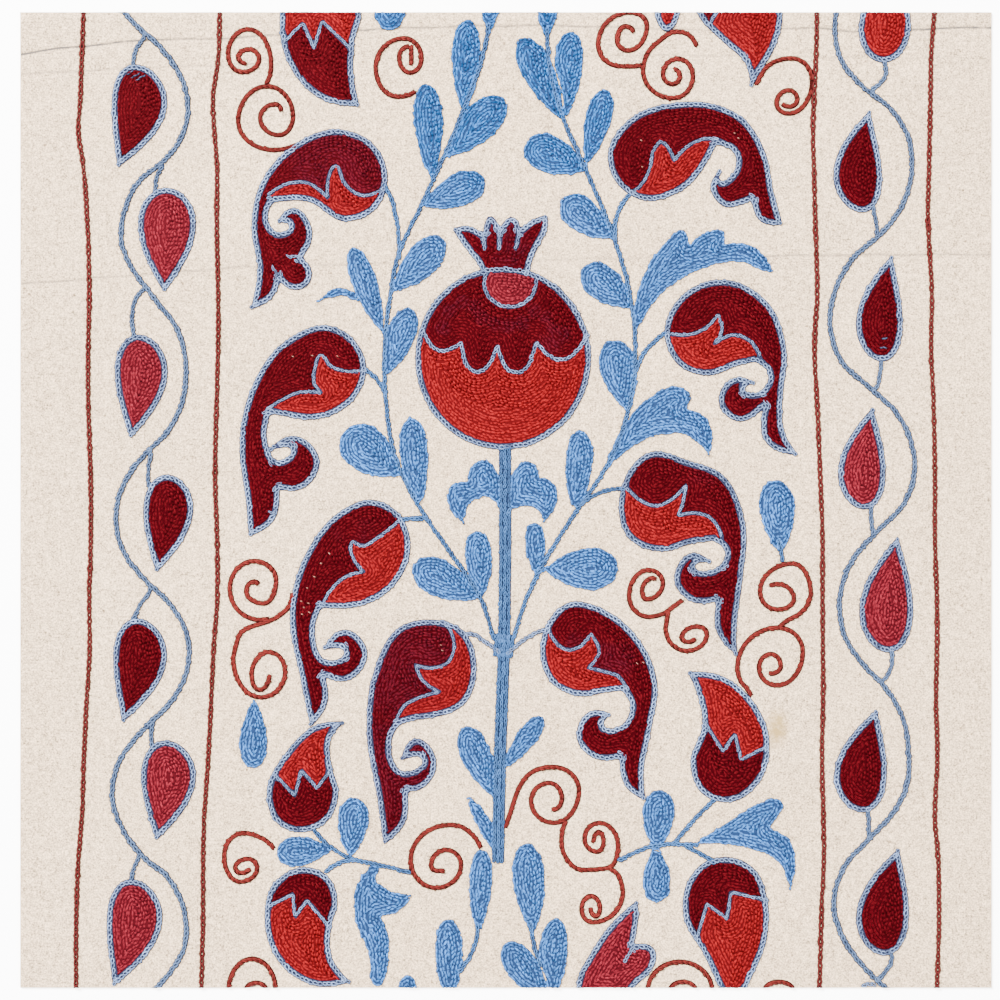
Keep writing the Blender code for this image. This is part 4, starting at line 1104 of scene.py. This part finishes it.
work = fresh()
chain(work, PALE_BLUE, FORK, LINE_WIDTH, LINE_SPAN, lift=HIGH_LIFT)
outlined(work, [lobed(FORKED_BUD)], ROSE)
sewn(work, "bud_bottom_stitched", ["bud_bottom"], "rose_silk")
work = fresh()
outlined(work, [teardrop(*SMALL_BUD)], SCARLET)
sewn(work, "bud_top_middle_stitched", ["bud_top_middle"], "scarlet_silk")


# The drops: fourteen, seven down each border, each one silk inside a blue outline.
DROPS = (  # point, round end, width, bend to the right, silk, and the stalk to the vine
    ("drop_left_1", (117, 167), (139, 65), 55, 9, CRIMSON, ((133, 70), (136, 48), (145, 34))),
    ("drop_left_2", (164, 292), (167, 188), 57, 1, ROSE, ((155, 194), (156, 178), (161, 164))),
    ("drop_left_3", (130, 438), (140, 335), 52, 5, ROSE,
     ((134, 338), (132, 313), (135, 299), (144, 284))),
    ("drop_left_4", (156, 572), (169, 475), 49, 4, CRIMSON, ((148, 487), (148, 470), (150, 453))),
    ("drop_left_5", (122, 722), (140, 619), 53, 7, CRIMSON, ((130, 624), (141, 603), (150, 587))),
    ("drop_left_6", (156, 840), (168, 741), 54, 5, ROSE, ((153, 748), (151, 736), (153, 721))),
    ("drop_left_7", (113, 986), (135, 880), 55, 8, ROSE, ((131, 886), (133, 870), (142, 855))),
    ("drop_right_1", (890, -40), (882, 62), 51, 0, SCARLET, ((883, 56), (885, 78), (872, 93))),
    ("drop_right_2", (870, 111), (861, 212), 48, -7, CRIMSON,
     ((873, 206), (876, 222), (877, 237))),
    ("drop_right_3", (892, 256), (881, 361), 46, -6, CRIMSON,
     ((881, 356), (880, 374), (874, 390))),
    ("drop_right_4", (873, 408), (863, 509), 47, -5, ROSE, ((872, 504), (871, 520), (872, 537))),
    ("drop_right_5", (898, 537), (887, 652), 53, -5, ROSE, ((891, 647), (892, 664), (882, 681))),
    ("drop_right_6", (877, 710), (860, 812), 52, -6, CRIMSON,
     ((867, 807), (869, 818), (869, 834))),
    ("drop_right_7", (899, 849), (882, 955), 52, -6, CRIMSON,
     ((889, 950), (892, 958), (886, 971), (880, 979))),
)
PALE_STRAYS = {  # blue threads that run across a drop
    "drop_left_1": (((127, 75), (133, 71)), ((131, 78), (139, 73)), ((136, 80), (145, 75))),
    "drop_right_3": (((880, 348), (886, 348)), ((882, 339), (888, 338))),
}
STRAY_WIDTH, STRAY_SPAN = 2.2, 3.5
for name, point, round_end, width, bend, silk, _ in DROPS:
    work = fresh()
    for stray in PALE_STRAYS.get(name, ()):
        chain(work, GREY_BLUE, stray, STRAY_WIDTH, STRAY_SPAN, lift=HIGH_LIFT, link=FILLING)
    outlined(work, [teardrop(point, round_end, width, bend)], silk)
    sewn(work, name + "_stitched", [name], SILKS[silk][0])


# The pomegranate: a round fruit in scarlet with a dark scalloped cap, a rose eye and a dark crown
# of four spikes, all ringed in blue.
FRUIT_MIDDLE, FRUIT_HALF = (503, 358), (87.5, 91)
EYE_MIDDLE, EYE_HALF, EYE_TOP = (510, 283), (26, 24), 270
SCALLOPS = (
    (422, 330, True), (441, 351), (461, 343, True), (477, 372), (497, 346, True), (516, 373),
    (536, 342, True), (560, 360), (588, 334, True))
CROWN = (  # it stands on the fruit's own outline
    (484, 277, True), (479, 265), (469, 252), (460, 240), (453, 229, True), (467, 226),
    (483, 234, True), (485, 225), (490, 216), (496, 221), (500, 229, True), (505, 221), (512, 217),
    (518, 222), (520, 230, True), (532, 220), (547, 215, True), (547, 228), (537, 248), (531, 262),
    (529, 277, True))
VALLEYS = (((483, 233), (484.5, 249)), ((500, 229), (499, 249)), ((520, 230), (515.5, 249)))
VALLEY_WIDTH = 1.5
CAP_SIDES = ((640, 334), (640, 200), (380, 200), (380, 330))  # well outside the fruit
EYE_UNDER = (0, 5)  # the eye's ring is left out where it is nearer the fruit's top than this
SWIRL = (  # where a plum stretch of thread swirls through the cap
    (443, 328), (448, 311), (462, 301), (473, 307), (482, 318), (495, 325), (508, 327),
    (522, 322), (535, 311), (546, 316), (553, 328), (563, 333), (497, 258), (510, 262))
SWIRL_REACH = 9
CAP_PLUM = ((510, 240, 30, 0.8), (550, 345, 14, 0.8))


def oval(middle, half, steps=60):
    angle = np.linspace(0, 2 * math.pi, steps, endpoint=False)[:, None]
    return np.array(middle) + np.array(half) * np.concatenate([np.cos(angle), np.sin(angle)], 1)


work = fresh()
fruit = oval(FRUIT_MIDDLE, FRUIT_HALF)
eye = oval(EYE_MIDDLE, EYE_HALF)
eye[:, 1] = np.maximum(eye[:, 1], EYE_TOP)
seam = smooth(SCALLOPS, SEAM_SPACING, tuple(range(0, len(SCALLOPS), 2)))
cap = np.concatenate([seam, CAP_SIDES])
chain(work, PALE_BLUE, seam, LINE_WIDTH, LINE_SPAN, lift=LOW_LIFT, inside=fruit)
chain(work, PALE_BLUE, eye, LINE_WIDTH, LINE_SPAN, closed=True, lift=LOW_LIFT,
      inside=fruit + EYE_UNDER)
clefts = []
for valley in VALLEYS:
    chain(work, PALE_BLUE, valley, SEAM_WIDTH * 1.2, LINE_SPAN * 0.8, lift=MID_LIFT)
    clefts.append((None, band(np.array(valley, float), VALLEY_WIDTH)))
outlined(work, [fruit], SCARLET, [(ROSE, eye), (CRIMSON, cap)])
outlined(work, [lobed(CROWN)], CRIMSON, clefts, open_ended=True)
sewn(work, "pomegranate_stitched", ["pomegranate"], "scarlet_silk",
     (*((*place, SWIRL_REACH, 1) for place in SWIRL), *CAP_PLUM))


# The stem, the branches and sprigs, and their leaves: sky-blue silk. A stalk is one row of chain
# stitch, the stem three side by side, and a leaf is filled with rows that follow its edge.
LOBED_LEAVES = {
    "wing_upper": (
        (635, 334, True), (634, 308), (642, 278), (666, 242), (684, 229), (689, 245, True),
        (708, 231), (724, 231), (723, 245, True), (746, 243), (768, 261), (772, 272), (764, 271),
        (741, 262), (700, 270), (655, 301), (643, 320)),
    "wing_lower": (
        (603, 473, True), (621, 430), (650, 397), (677, 386), (691, 397), (686, 409, True),
        (704, 415), (713, 440), (709, 456, True), (688, 436), (655, 436), (622, 455)),
    "wing_sprig": (
        (692, 845, True), (732, 819), (764, 801), (780, 799), (770, 828, True), (788, 838),
        (796, 864), (790, 890, True), (776, 860), (742, 847)),
    "tongue": (
        (317, 302, True), (326, 293), (336, 287), (349, 289), (368, 308, True), (352, 299),
        (340, 296), (329, 298)),
    "bird": (
        (372, 864, True), (357, 884), (354, 915), (369, 955), (376, 987), (389, 953), (389, 935),
        (380, 917, True), (401, 910), (411, 895, True), (388, 890), (375, 880, True),
        (381, 866, True)),
    "palm_left": (
        (502, 482, True), (481, 459), (469, 470), (468, 482, True), (452, 484), (448, 505),
        (464, 524, True), (470, 503), (486, 497), (502, 514, True)),
    "palm_right": (
        (507, 482, True), (530, 461), (538, 468), (538, 477, True), (553, 482), (557, 503),
        (544, 523, True), (537, 510), (520, 507), (507, 514, True)),
    "thorn": (
        (467, 799, True), (472, 797, True), (483, 810), (496, 828), (500, 842, True),
        (498, 859, True), (486, 842), (474, 820)),
}
# Stalks (rows side by side, points), leaves (base, round tip, width, taper) and lobed leaves.
STEMS = (
    ("stem",
     ((3, ((505, 446), (504, 640), (500, 760), (498, 862))),
      (5, ((505, 634), (504, 646), (503, 656)))),
     (((497, 800), (463, 727), 31), ((502, 770), (543, 716), 21)),
     ("palm_left", "palm_right", "thorn")),
    ("branch_left",
     ((1, ((494, 640), (482, 602), (447, 548), (418, 505), (394, 454), (386, 403), (384, 360),
           (389, 303), (398, 255), (420, 208), (443, 158), (464, 108), (481, 62), (489, 24))),
      (1, ((384, 184), (389, 193), (397, 222), (399, 258))),
      (1, ((361, 366), (376, 378), (386, 396))),
      (1, ((399, 519), (427, 518)))),
     (((464, 112), (467, 19), 29, 0.65), ((444, 158), (504, 98), 37), ((432, 180), (426, 83), 30),
      ((421, 206), (485, 179), 34), ((392, 292), (443, 238), 34), ((383, 334), (352, 247), 26),
      ((384, 378), (411, 308), 30), ((402, 476), (343, 432), 46),
      ((418, 504), (411, 417), 29, 0.5), ((482, 599), (413, 565), 38),
      ((481, 601), (477, 530), 28), ((489, 34), (492, -46), 27)),
     ("tongue",)),
    ("branch_right",
     ((1, ((513, 640), (529, 592), (545, 561), (577, 510), (608, 464), (624, 425), (633, 385),
           (635, 340), (629, 290), (613, 235), (584, 166), (563, 118), (549, 66), (547, 28))),
      (1, ((633, 190), (617, 215), (615, 240))),
      (1, ((670, 329), (645, 352), (634, 376))),
      (1, ((626, 488), (602, 492), (578, 506)))),
     (((563, 120), (521, 38), 33), ((564, 120), (571, 31), 30), ((586, 166), (606, 89), 27),
      ((588, 170), (525, 144), 39), ((613, 239), (562, 199), 35), ((633, 308), (583, 267), 36),
      ((628, 412), (612, 340), 38), ((576, 509), (581, 430), 28, 0.5),
      ((538, 580), (534, 522), 21), ((544, 570), (618, 568), 43), ((547, 40), (548, -40), 28)),
     ("wing_upper", "wing_lower")),
    ("sprig_left",
     ((1, ((313, 829), (330, 847), (350, 858), (380, 865), (409, 872))),
      (1, ((325, 873), (338, 863), (358, 860)))),
     (((332, 849), (276, 853), 31), ((350, 858), (355, 797), 31)),
     ("bird",)),
    ("sprig_right",
     ((1, ((618, 861), (650, 847), (698, 845))),
      (1, ((672, 846), (694, 820), (714, 800))),
      (1, ((684, 845), (699, 853), (714, 862)))),
     (((656, 852), (660, 790), 33), ((656, 845), (657, 903), 28)),
     ("wing_sprig",)),
    ("sprig_bottom_left", ((1, ((478, 924), (475, 945), (460, 972))),),
     (((478, 936), (482, 849), 24), ((450, 1006), (448, 919), 28)), ()),
    ("sprig_bottom_right", ((1, ((531, 922), (533, 942), (541, 966))),),
     (((533, 936), (526, 843), 33), ((549, 1004), (505, 943), 33), ((545, 1016), (557, 918), 30)),
     ()),
    ("leaf_left", (), (((254, 699), (253, 769), 29),), ()),
    ("leaf_right", ((1, ((779, 540), (783, 560))),), (((781, 555), (775, 480), 36),), ()),
    ("leaf_top", (), (((391, -50), (389, 31), 34),), ()),
    ("leaf_bottom", (), (((408, 1046), (407, 975), 24),), ()),
)
DEEPER = {  # leaves near the top edge, in a deeper blue: column, row, reach, strength
    "branch_left": ((462, 75, 135, 1),),
    "branch_right": ((562, 75, 135, 1),),
    "leaf_top": ((391, 20, 60, 1),),
}
ROW_APART = 4.1  # between the middles of rows that lie side by side
ROW_BESIDE = 0.8  # how much of such rows the next pieces keep clear of, and of a single one
ROW_ALONE = 0.5
LEAF_TAPER = 0.8
LEAF_LAYER_TOP = 0.00135


def leaf(work, loop):
    """A leaf: sky-blue rows that follow its edge, over a layer of the same thread."""
    squares, shape = chart_of([loop])
    whole = free_depth([loop], squares, 0)
    plate(work, SKY_BLUE, whole, squares, shape, LAYER_IN, LEAF_LAYER_TOP)
    fill(work, SKY_BLUE, whole, squares, shape, [loop])
    taken.append(loop)


for name, stalks, leaves, lobes in STEMS:
    work = fresh()
    bands = []
    for rows, points in stalks:
        middle = smooth(points)
        ways = np.gradient(middle, axis=0)
        side = np.stack([-ways[:, 1], ways[:, 0]], axis=1) / np.linalg.norm(ways, axis=1)[:, None]
        alone = rows == 1
        for i in range(rows):
            chain(work, STEEL_BLUE, middle + side * (i - (rows - 1) / 2) * ROW_APART,
                  STALK_WIDTH if alone else ROW_APART * 1.25, LINE_SPAN, link=STALK)
        broad = STALK_WIDTH * STALK_BED if alone else rows * ROW_APART
        bed(work, STEEL_BLUE, middle, broad)
        bands.append(band(middle, broad * (ROW_ALONE if alone else ROW_BESIDE)))
    taken += bands
    for base, tip, width, *taper in leaves:
        leaf(work, teardrop(base, tip, width, taper=taper[0] if taper else LEAF_TAPER))
    for shape_name in lobes:
        leaf(work, lobed(LOBED_LEAVES[shape_name]))
    sewn(work, name + "_stitched", [name], "blue_silk", DEEPER.get(name, ()))


# The two vines: one grey-blue row of chain stitch waves down each border, with a stalk to each
# drop. The links are nearly closed.
VINES = (
    ("vine_left", (
        (119, 6), (134, 23), (161, 48), (182, 79), (188, 109), (179, 142), (160, 164),
        (139, 181), (124, 213), (121, 240), (133, 270), (155, 299), (179, 333), (186, 369),
        (182, 402), (169, 430), (145, 454), (124, 483), (116, 514), (122, 549), (143, 578),
        (170, 604), (187, 635), (186, 674), (169, 704), (143, 730), (120, 760), (112, 797),
        (124, 832), (142, 856), (168, 878), (184, 911), (185, 945), (168, 975), (152, 993))),
    ("vine_right", (
        (837, 6), (835, 30), (840, 57), (861, 85), (889, 107), (908, 136), (912, 171),
        (902, 206), (882, 233), (854, 257), (835, 291), (830, 323), (841, 360), (868, 386),
        (897, 413), (913, 449), (915, 470), (905, 502), (876, 533), (854, 558), (841, 590),
        (843, 631), (861, 662), (885, 687), (904, 721), (909, 760), (908, 781), (894, 812),
        (869, 839), (844, 868), (834, 906), (843, 938), (864, 967), (893, 994))),
)
NEXT_DROP = ((862, 987), (868, 983), (875, 986))  # the tip of one that the edge cuts off
VINE_WIDTH = 7.6
for name, points in VINES:
    work = fresh()
    line = smooth(points)
    chain(work, GREY_BLUE, line, VINE_WIDTH, LINE_SPAN * 1.05, link=STALK)
    bed(work, GREY_BLUE, line, VINE_WIDTH * STALK_BED)
    taken.append(band(line, VINE_WIDTH * 0.8))
    for drop, *_, stalk in DROPS:
        if drop.split("_")[1] == name.split("_")[1]:
            meets = line[np.argmin(np.linalg.norm(line - stalk[-1], axis=1))]
            stalk_row(work, GREY_BLUE, smooth((*stalk, meets)))
    if name == "vine_right":
        chain(work, PALE_BLUE, NEXT_DROP, LINE_WIDTH, LINE_SPAN)
    sewn(work, name + "_stitched", [name], "blue_silk")


# The border lines: four single rows of chain stitch in dark brick silk. They are sewn by eye, so
# they waver.
BORDER_ROWS = (8, 60, 100, 128, 170, 210, 300, 345, 400, 480, 540, 600, 650, 700, 760, 820, 855,
               900, 992)
BORDER_LINES = (
    ("border_line_1", 6.7, (83.5, 81.5, 80, 78, 83.5, 86.5, 89, 88, 88, 90.5, 90.5, 89, 89.5,
                            86.5, 83.5, 81.5, 78.5, 76.5, 76)),
    ("border_line_2", 7.2, (219.5, 218, 212.5, 214, 217, 216.5, 218, 218, 216.5, 215, 217, 217,
                            213.5, 211, 208, 204, 203, 203, 201)),
    ("border_line_3", 8.0, (817, 816, 814, 813, 814, 815, 817, 814.5, 817, 820.5, 822.5, 822.5,
                            823, 823, 822, 823.5, 824, 822, 819.5)),
    ("border_line_4", 6.7, (935, 931, 930.5, 930, 929, 928, 932, 931, 933.5, 935, 935, 937, 937,
                            936, 937.5, 935, 938, 939, 937)),
)
BORDER_WIDTH = 6.6
KNOT, KNOT_SPAN = ((927.5, 216), (929.5, 231)), 5  # where the thread of the last line was joined
for name, span, columns in BORDER_LINES:
    work = fresh()
    line = smooth(list(zip(columns, BORDER_ROWS)))
    chain(work, DEEP_BRICK, line, BORDER_WIDTH, span, link=OPEN)
    if name == "border_line_4":
        chain(work, DEEP_BRICK, KNOT, BORDER_WIDTH * 1.1, KNOT_SPAN, lift=MID_LIFT)
    taken.append(band(line, BORDER_WIDTH))
    sewn(work, name + "_stitched", [name], "brick_silk")


# The scrolls: single rows of brick-red chain stitch that curl in on themselves. Each thread has
# the points it leads in through, then its turns, with a quarter of an oval between each two; it
# runs upright and level by turns at them, upright first where True.
SCROLLS = (
    ("scroll_01", (
        (((266, 84), (270, 75)), True,
         ((271, 64), (248, 29), (228, 54), (242, 72), (259, 59), (249, 49), (238, 57),
          (245, 63))),
        (((296, 145), (288, 148)), False,
         ((274, 150), (238, 121), (267, 86), (293, 116), (279, 135), (260, 118), (275, 104),
          (281, 110))))),
    ("scroll_02", (
        (((415, 91), (411, 94)), False,
         ((397, 96.5), (375.5, 67), (404, 38), (421.5, 58), (410, 72.5), (399, 57), (409, 46))),
        (((411, 45), (411.3, 54)), False, ((411.2, 64),)))),
    ("scroll_03", (
        (((642, 65), (636, 66)), False,
         ((620, 66), (598, 44), (630, 12), (647, 25), (628, 50.5), (617, 40), (625, 26),
          (633, 31))),
        (((697, 46), (693.5, 39.5), (687, 33.5), (678, 31.5), (669, 33), (661, 39.5), (652, 47),
          (646, 56)), True,
         ((643, 70), (673, 98), (693, 76), (678, 58.5), (663, 74), (672.5, 84), (680, 76),
          (674, 69))))),
    ("scroll_04", (
        (((756, 84.5), (759.5, 77.5), (764.5, 69), (774.5, 61.5)), False,
         ((791, 58), (812.3, 80), (789, 113.5), (776.5, 103), (789, 90), (797.5, 99.5),
          (790, 106.5), (783, 104))),)),
    ("scroll_05", (
        (((269, 619),), False,
         ((260, 620), (229.5, 589), (254, 561), (276, 580), (264, 603.5), (246, 591.5),
          (254, 581.5), (258, 584))),
        (((292.5, 593), (290.5, 604), (283, 613), (268, 621.5), (253, 626), (241, 632),
          (236, 645)), True,
         ((233, 658), (261, 697.5), (285, 672), (269, 652), (251.5, 675), (259, 690),
          (269, 676))))),
    ("scroll_06", (
        (((274, 849), (270, 844), (261, 838), (253, 834.5)), False,
         ((244, 833), (224, 856), (240, 882), (257, 868), (248, 859), (235, 868), (240, 873),
          (249, 869.5))),)),
    ("scroll_07", (
        (((481, 848), (476, 839), (468, 831), (462, 827)), False,
         ((450, 825), (410.5, 860), (436, 888), (461, 865), (446, 850), (431, 865.5),
          (437, 871), (444, 871))),)),
    ("scroll_08", (
        (((505, 828), (510, 814), (514, 801), (519, 788), (527, 776), (537, 769.5)), False,
         ((553, 767), (579, 790), (554, 823), (531, 801), (549, 783), (562, 798), (553, 810))),
        (((566, 821), (562.5, 830), (561.5, 841), (563, 852), (568.5, 861.5), (577, 869),
          (588, 870)), False,
         ((608, 868), (618, 846), (599.5, 823), (584.5, 838.5), (597, 852), (603.5, 842),
          (599, 832), (593.5, 842))),
        (((608, 868), (615.5, 872), (620.5, 880)), True,
         ((623, 892), (593, 922.5), (581.5, 909.5), (591, 896), (600, 908), (596, 916.5),
          (590.5, 908))))),
    ("scroll_09", (
        (((682.5, 600), (673, 607), (664, 613.5)), False,
         ((649, 617), (629, 596), (649, 570), (663, 583), (646, 599.5), (642, 591),
          (654, 578))),
        (((668.5, 611), (667, 620)), True,
         ((665.5, 628), (687, 651), (707, 634), (698, 626.5), (681.5, 638), (689, 642),
          (694.5, 639))))),
    ("scroll_10", (
        (((779.5, 627), (788, 620), (798, 615), (805, 609)), True,
         ((811, 595), (793, 563.5), (760, 592), (778, 609.5), (794, 599), (778, 584),
          (771, 586))),
        (((751.5, 696), (747, 688.5), (741, 682)), True,
         ((737.3, 668), (778, 627.5), (803, 652), (777, 685.5), (759, 668), (771, 654),
          (781, 666), (770, 674))))),
)
ARCS = (  # the tops of scrolls that the bottom edge cuts off
    ((648, 990), (680, 962), (712, 990)), ((671, 990), (683, 982), (696, 990)),
    ((765, 990), (779, 982), (793, 990)), ((229, 990), (252, 959), (276, 990)),
    ((246, 990), (256, 983), (266, 990)))
SCROLL_WIDTH = 6.1
SCROLL_SPAN = 5.4
SCROLL_BED = 0.8


def curl(work, line):
    """One row of a scroll over its ribbon of thread."""
    chain(work, BRICK, line, SCROLL_WIDTH, SCROLL_SPAN, link=ROPE)
    bed(work, BRICK, line, SCROLL_WIDTH * SCROLL_BED)


def scroll(lead, upright, turns):
    """A thread's line: its lead-in, then one quarter of an oval between each two turns."""
    turns = [np.array(place, float) for place in turns]
    angles = np.linspace(0, math.pi / 2, 9)[:-1, None]
    out = [smooth([*lead, turns[0]])[:-1]]
    for start, end in zip(turns, turns[1:]):
        middle = np.array([end[0], start[1]] if upright else [start[0], end[1]])
        out.append(middle + (start - middle) * np.cos(angles) + (end - middle) * np.sin(angles))
        upright = not upright
    return np.concatenate([*out, turns[-1:]])


for name, threads in SCROLLS:
    work = fresh()
    for thread in threads:
        curl(work, scroll(*thread))
    sewn(work, name + "_stitched", [name], "brick_silk")
work = fresh()
angle = np.linspace(math.pi, 2 * math.pi, 25)[:, None]
for start, top, end in ARCS:
    half = np.array([(end[0] - start[0]) / 2, start[1] - top[1]])
    middle = np.array([top[0], start[1]])
    curl(work, middle + half * np.concatenate([np.cos(angle), np.sin(angle)], axis=1))
sewn(work, "scroll_tops_at_edge", [], "brick_silk")


# The room: a plain pale floor, a soft studio light from above on the left and a fill from the
# right, and a camera straight above the cloth, at the photograph's distance.
LENS = 85
SENSOR = 36
PICTURE = 1000
CAMERA_HEIGHT = PICTURE * STEP * LENS / SENSOR
IN_FOCUS = 0.0015  # the height that the picture's scale is right for
FLOOR_SIZE, FLOOR_LOW = 6, -0.0004
bpy.ops.mesh.primitive_plane_add(size=FLOOR_SIZE, location=(0, 0, FLOOR_LOW))
floor = bpy.context.object
floor.name = "studio_floor"
paper = bpy.data.materials.new("floor_paper")
paper.use_nodes = True
shader = paper.node_tree.nodes["Principled BSDF"]
shader.inputs["Base Color"].default_value = (0.97, 0.97, 0.97, 1)
shader.inputs["Roughness"].default_value = 0.9
shader.inputs["Emission Color"].default_value = (1, 1, 1, 1)
shader.inputs["Emission Strength"].default_value = 4
floor.data.materials.append(paper)
camera = bpy.data.objects.new("camera", bpy.data.cameras.new("camera"))
camera.data.lens = LENS
camera.data.sensor_width = SENSOR
camera.location = at(PICTURE / 2, PICTURE / 2, CAMERA_HEIGHT + IN_FOCUS)
bpy.context.scene.collection.objects.link(camera)
bpy.context.scene.camera = camera
for name, spot, size, power in (("key", (-2.0, 2.1, 3.1), 1.6, 1500),
                                ("fill", (2.6, -1.4, 2.8), 2.4, 330)):
    light = bpy.data.objects.new(name, bpy.data.lights.new(name, "AREA"))
    light.data.size = size
    light.data.energy = power
    light.location = spot
    light.rotation_euler = (-Vector(spot)).to_track_quat("-Z", "Y").to_euler()
    bpy.context.scene.collection.objects.link(light)
world = bpy.data.worlds.new("studio")
bpy.context.scene.world = world
world.use_nodes = True
world.node_tree.nodes["Background"].inputs["Color"].default_value = (1, 1, 1, 1)
world.node_tree.nodes["Background"].inputs["Strength"].default_value = 1.1
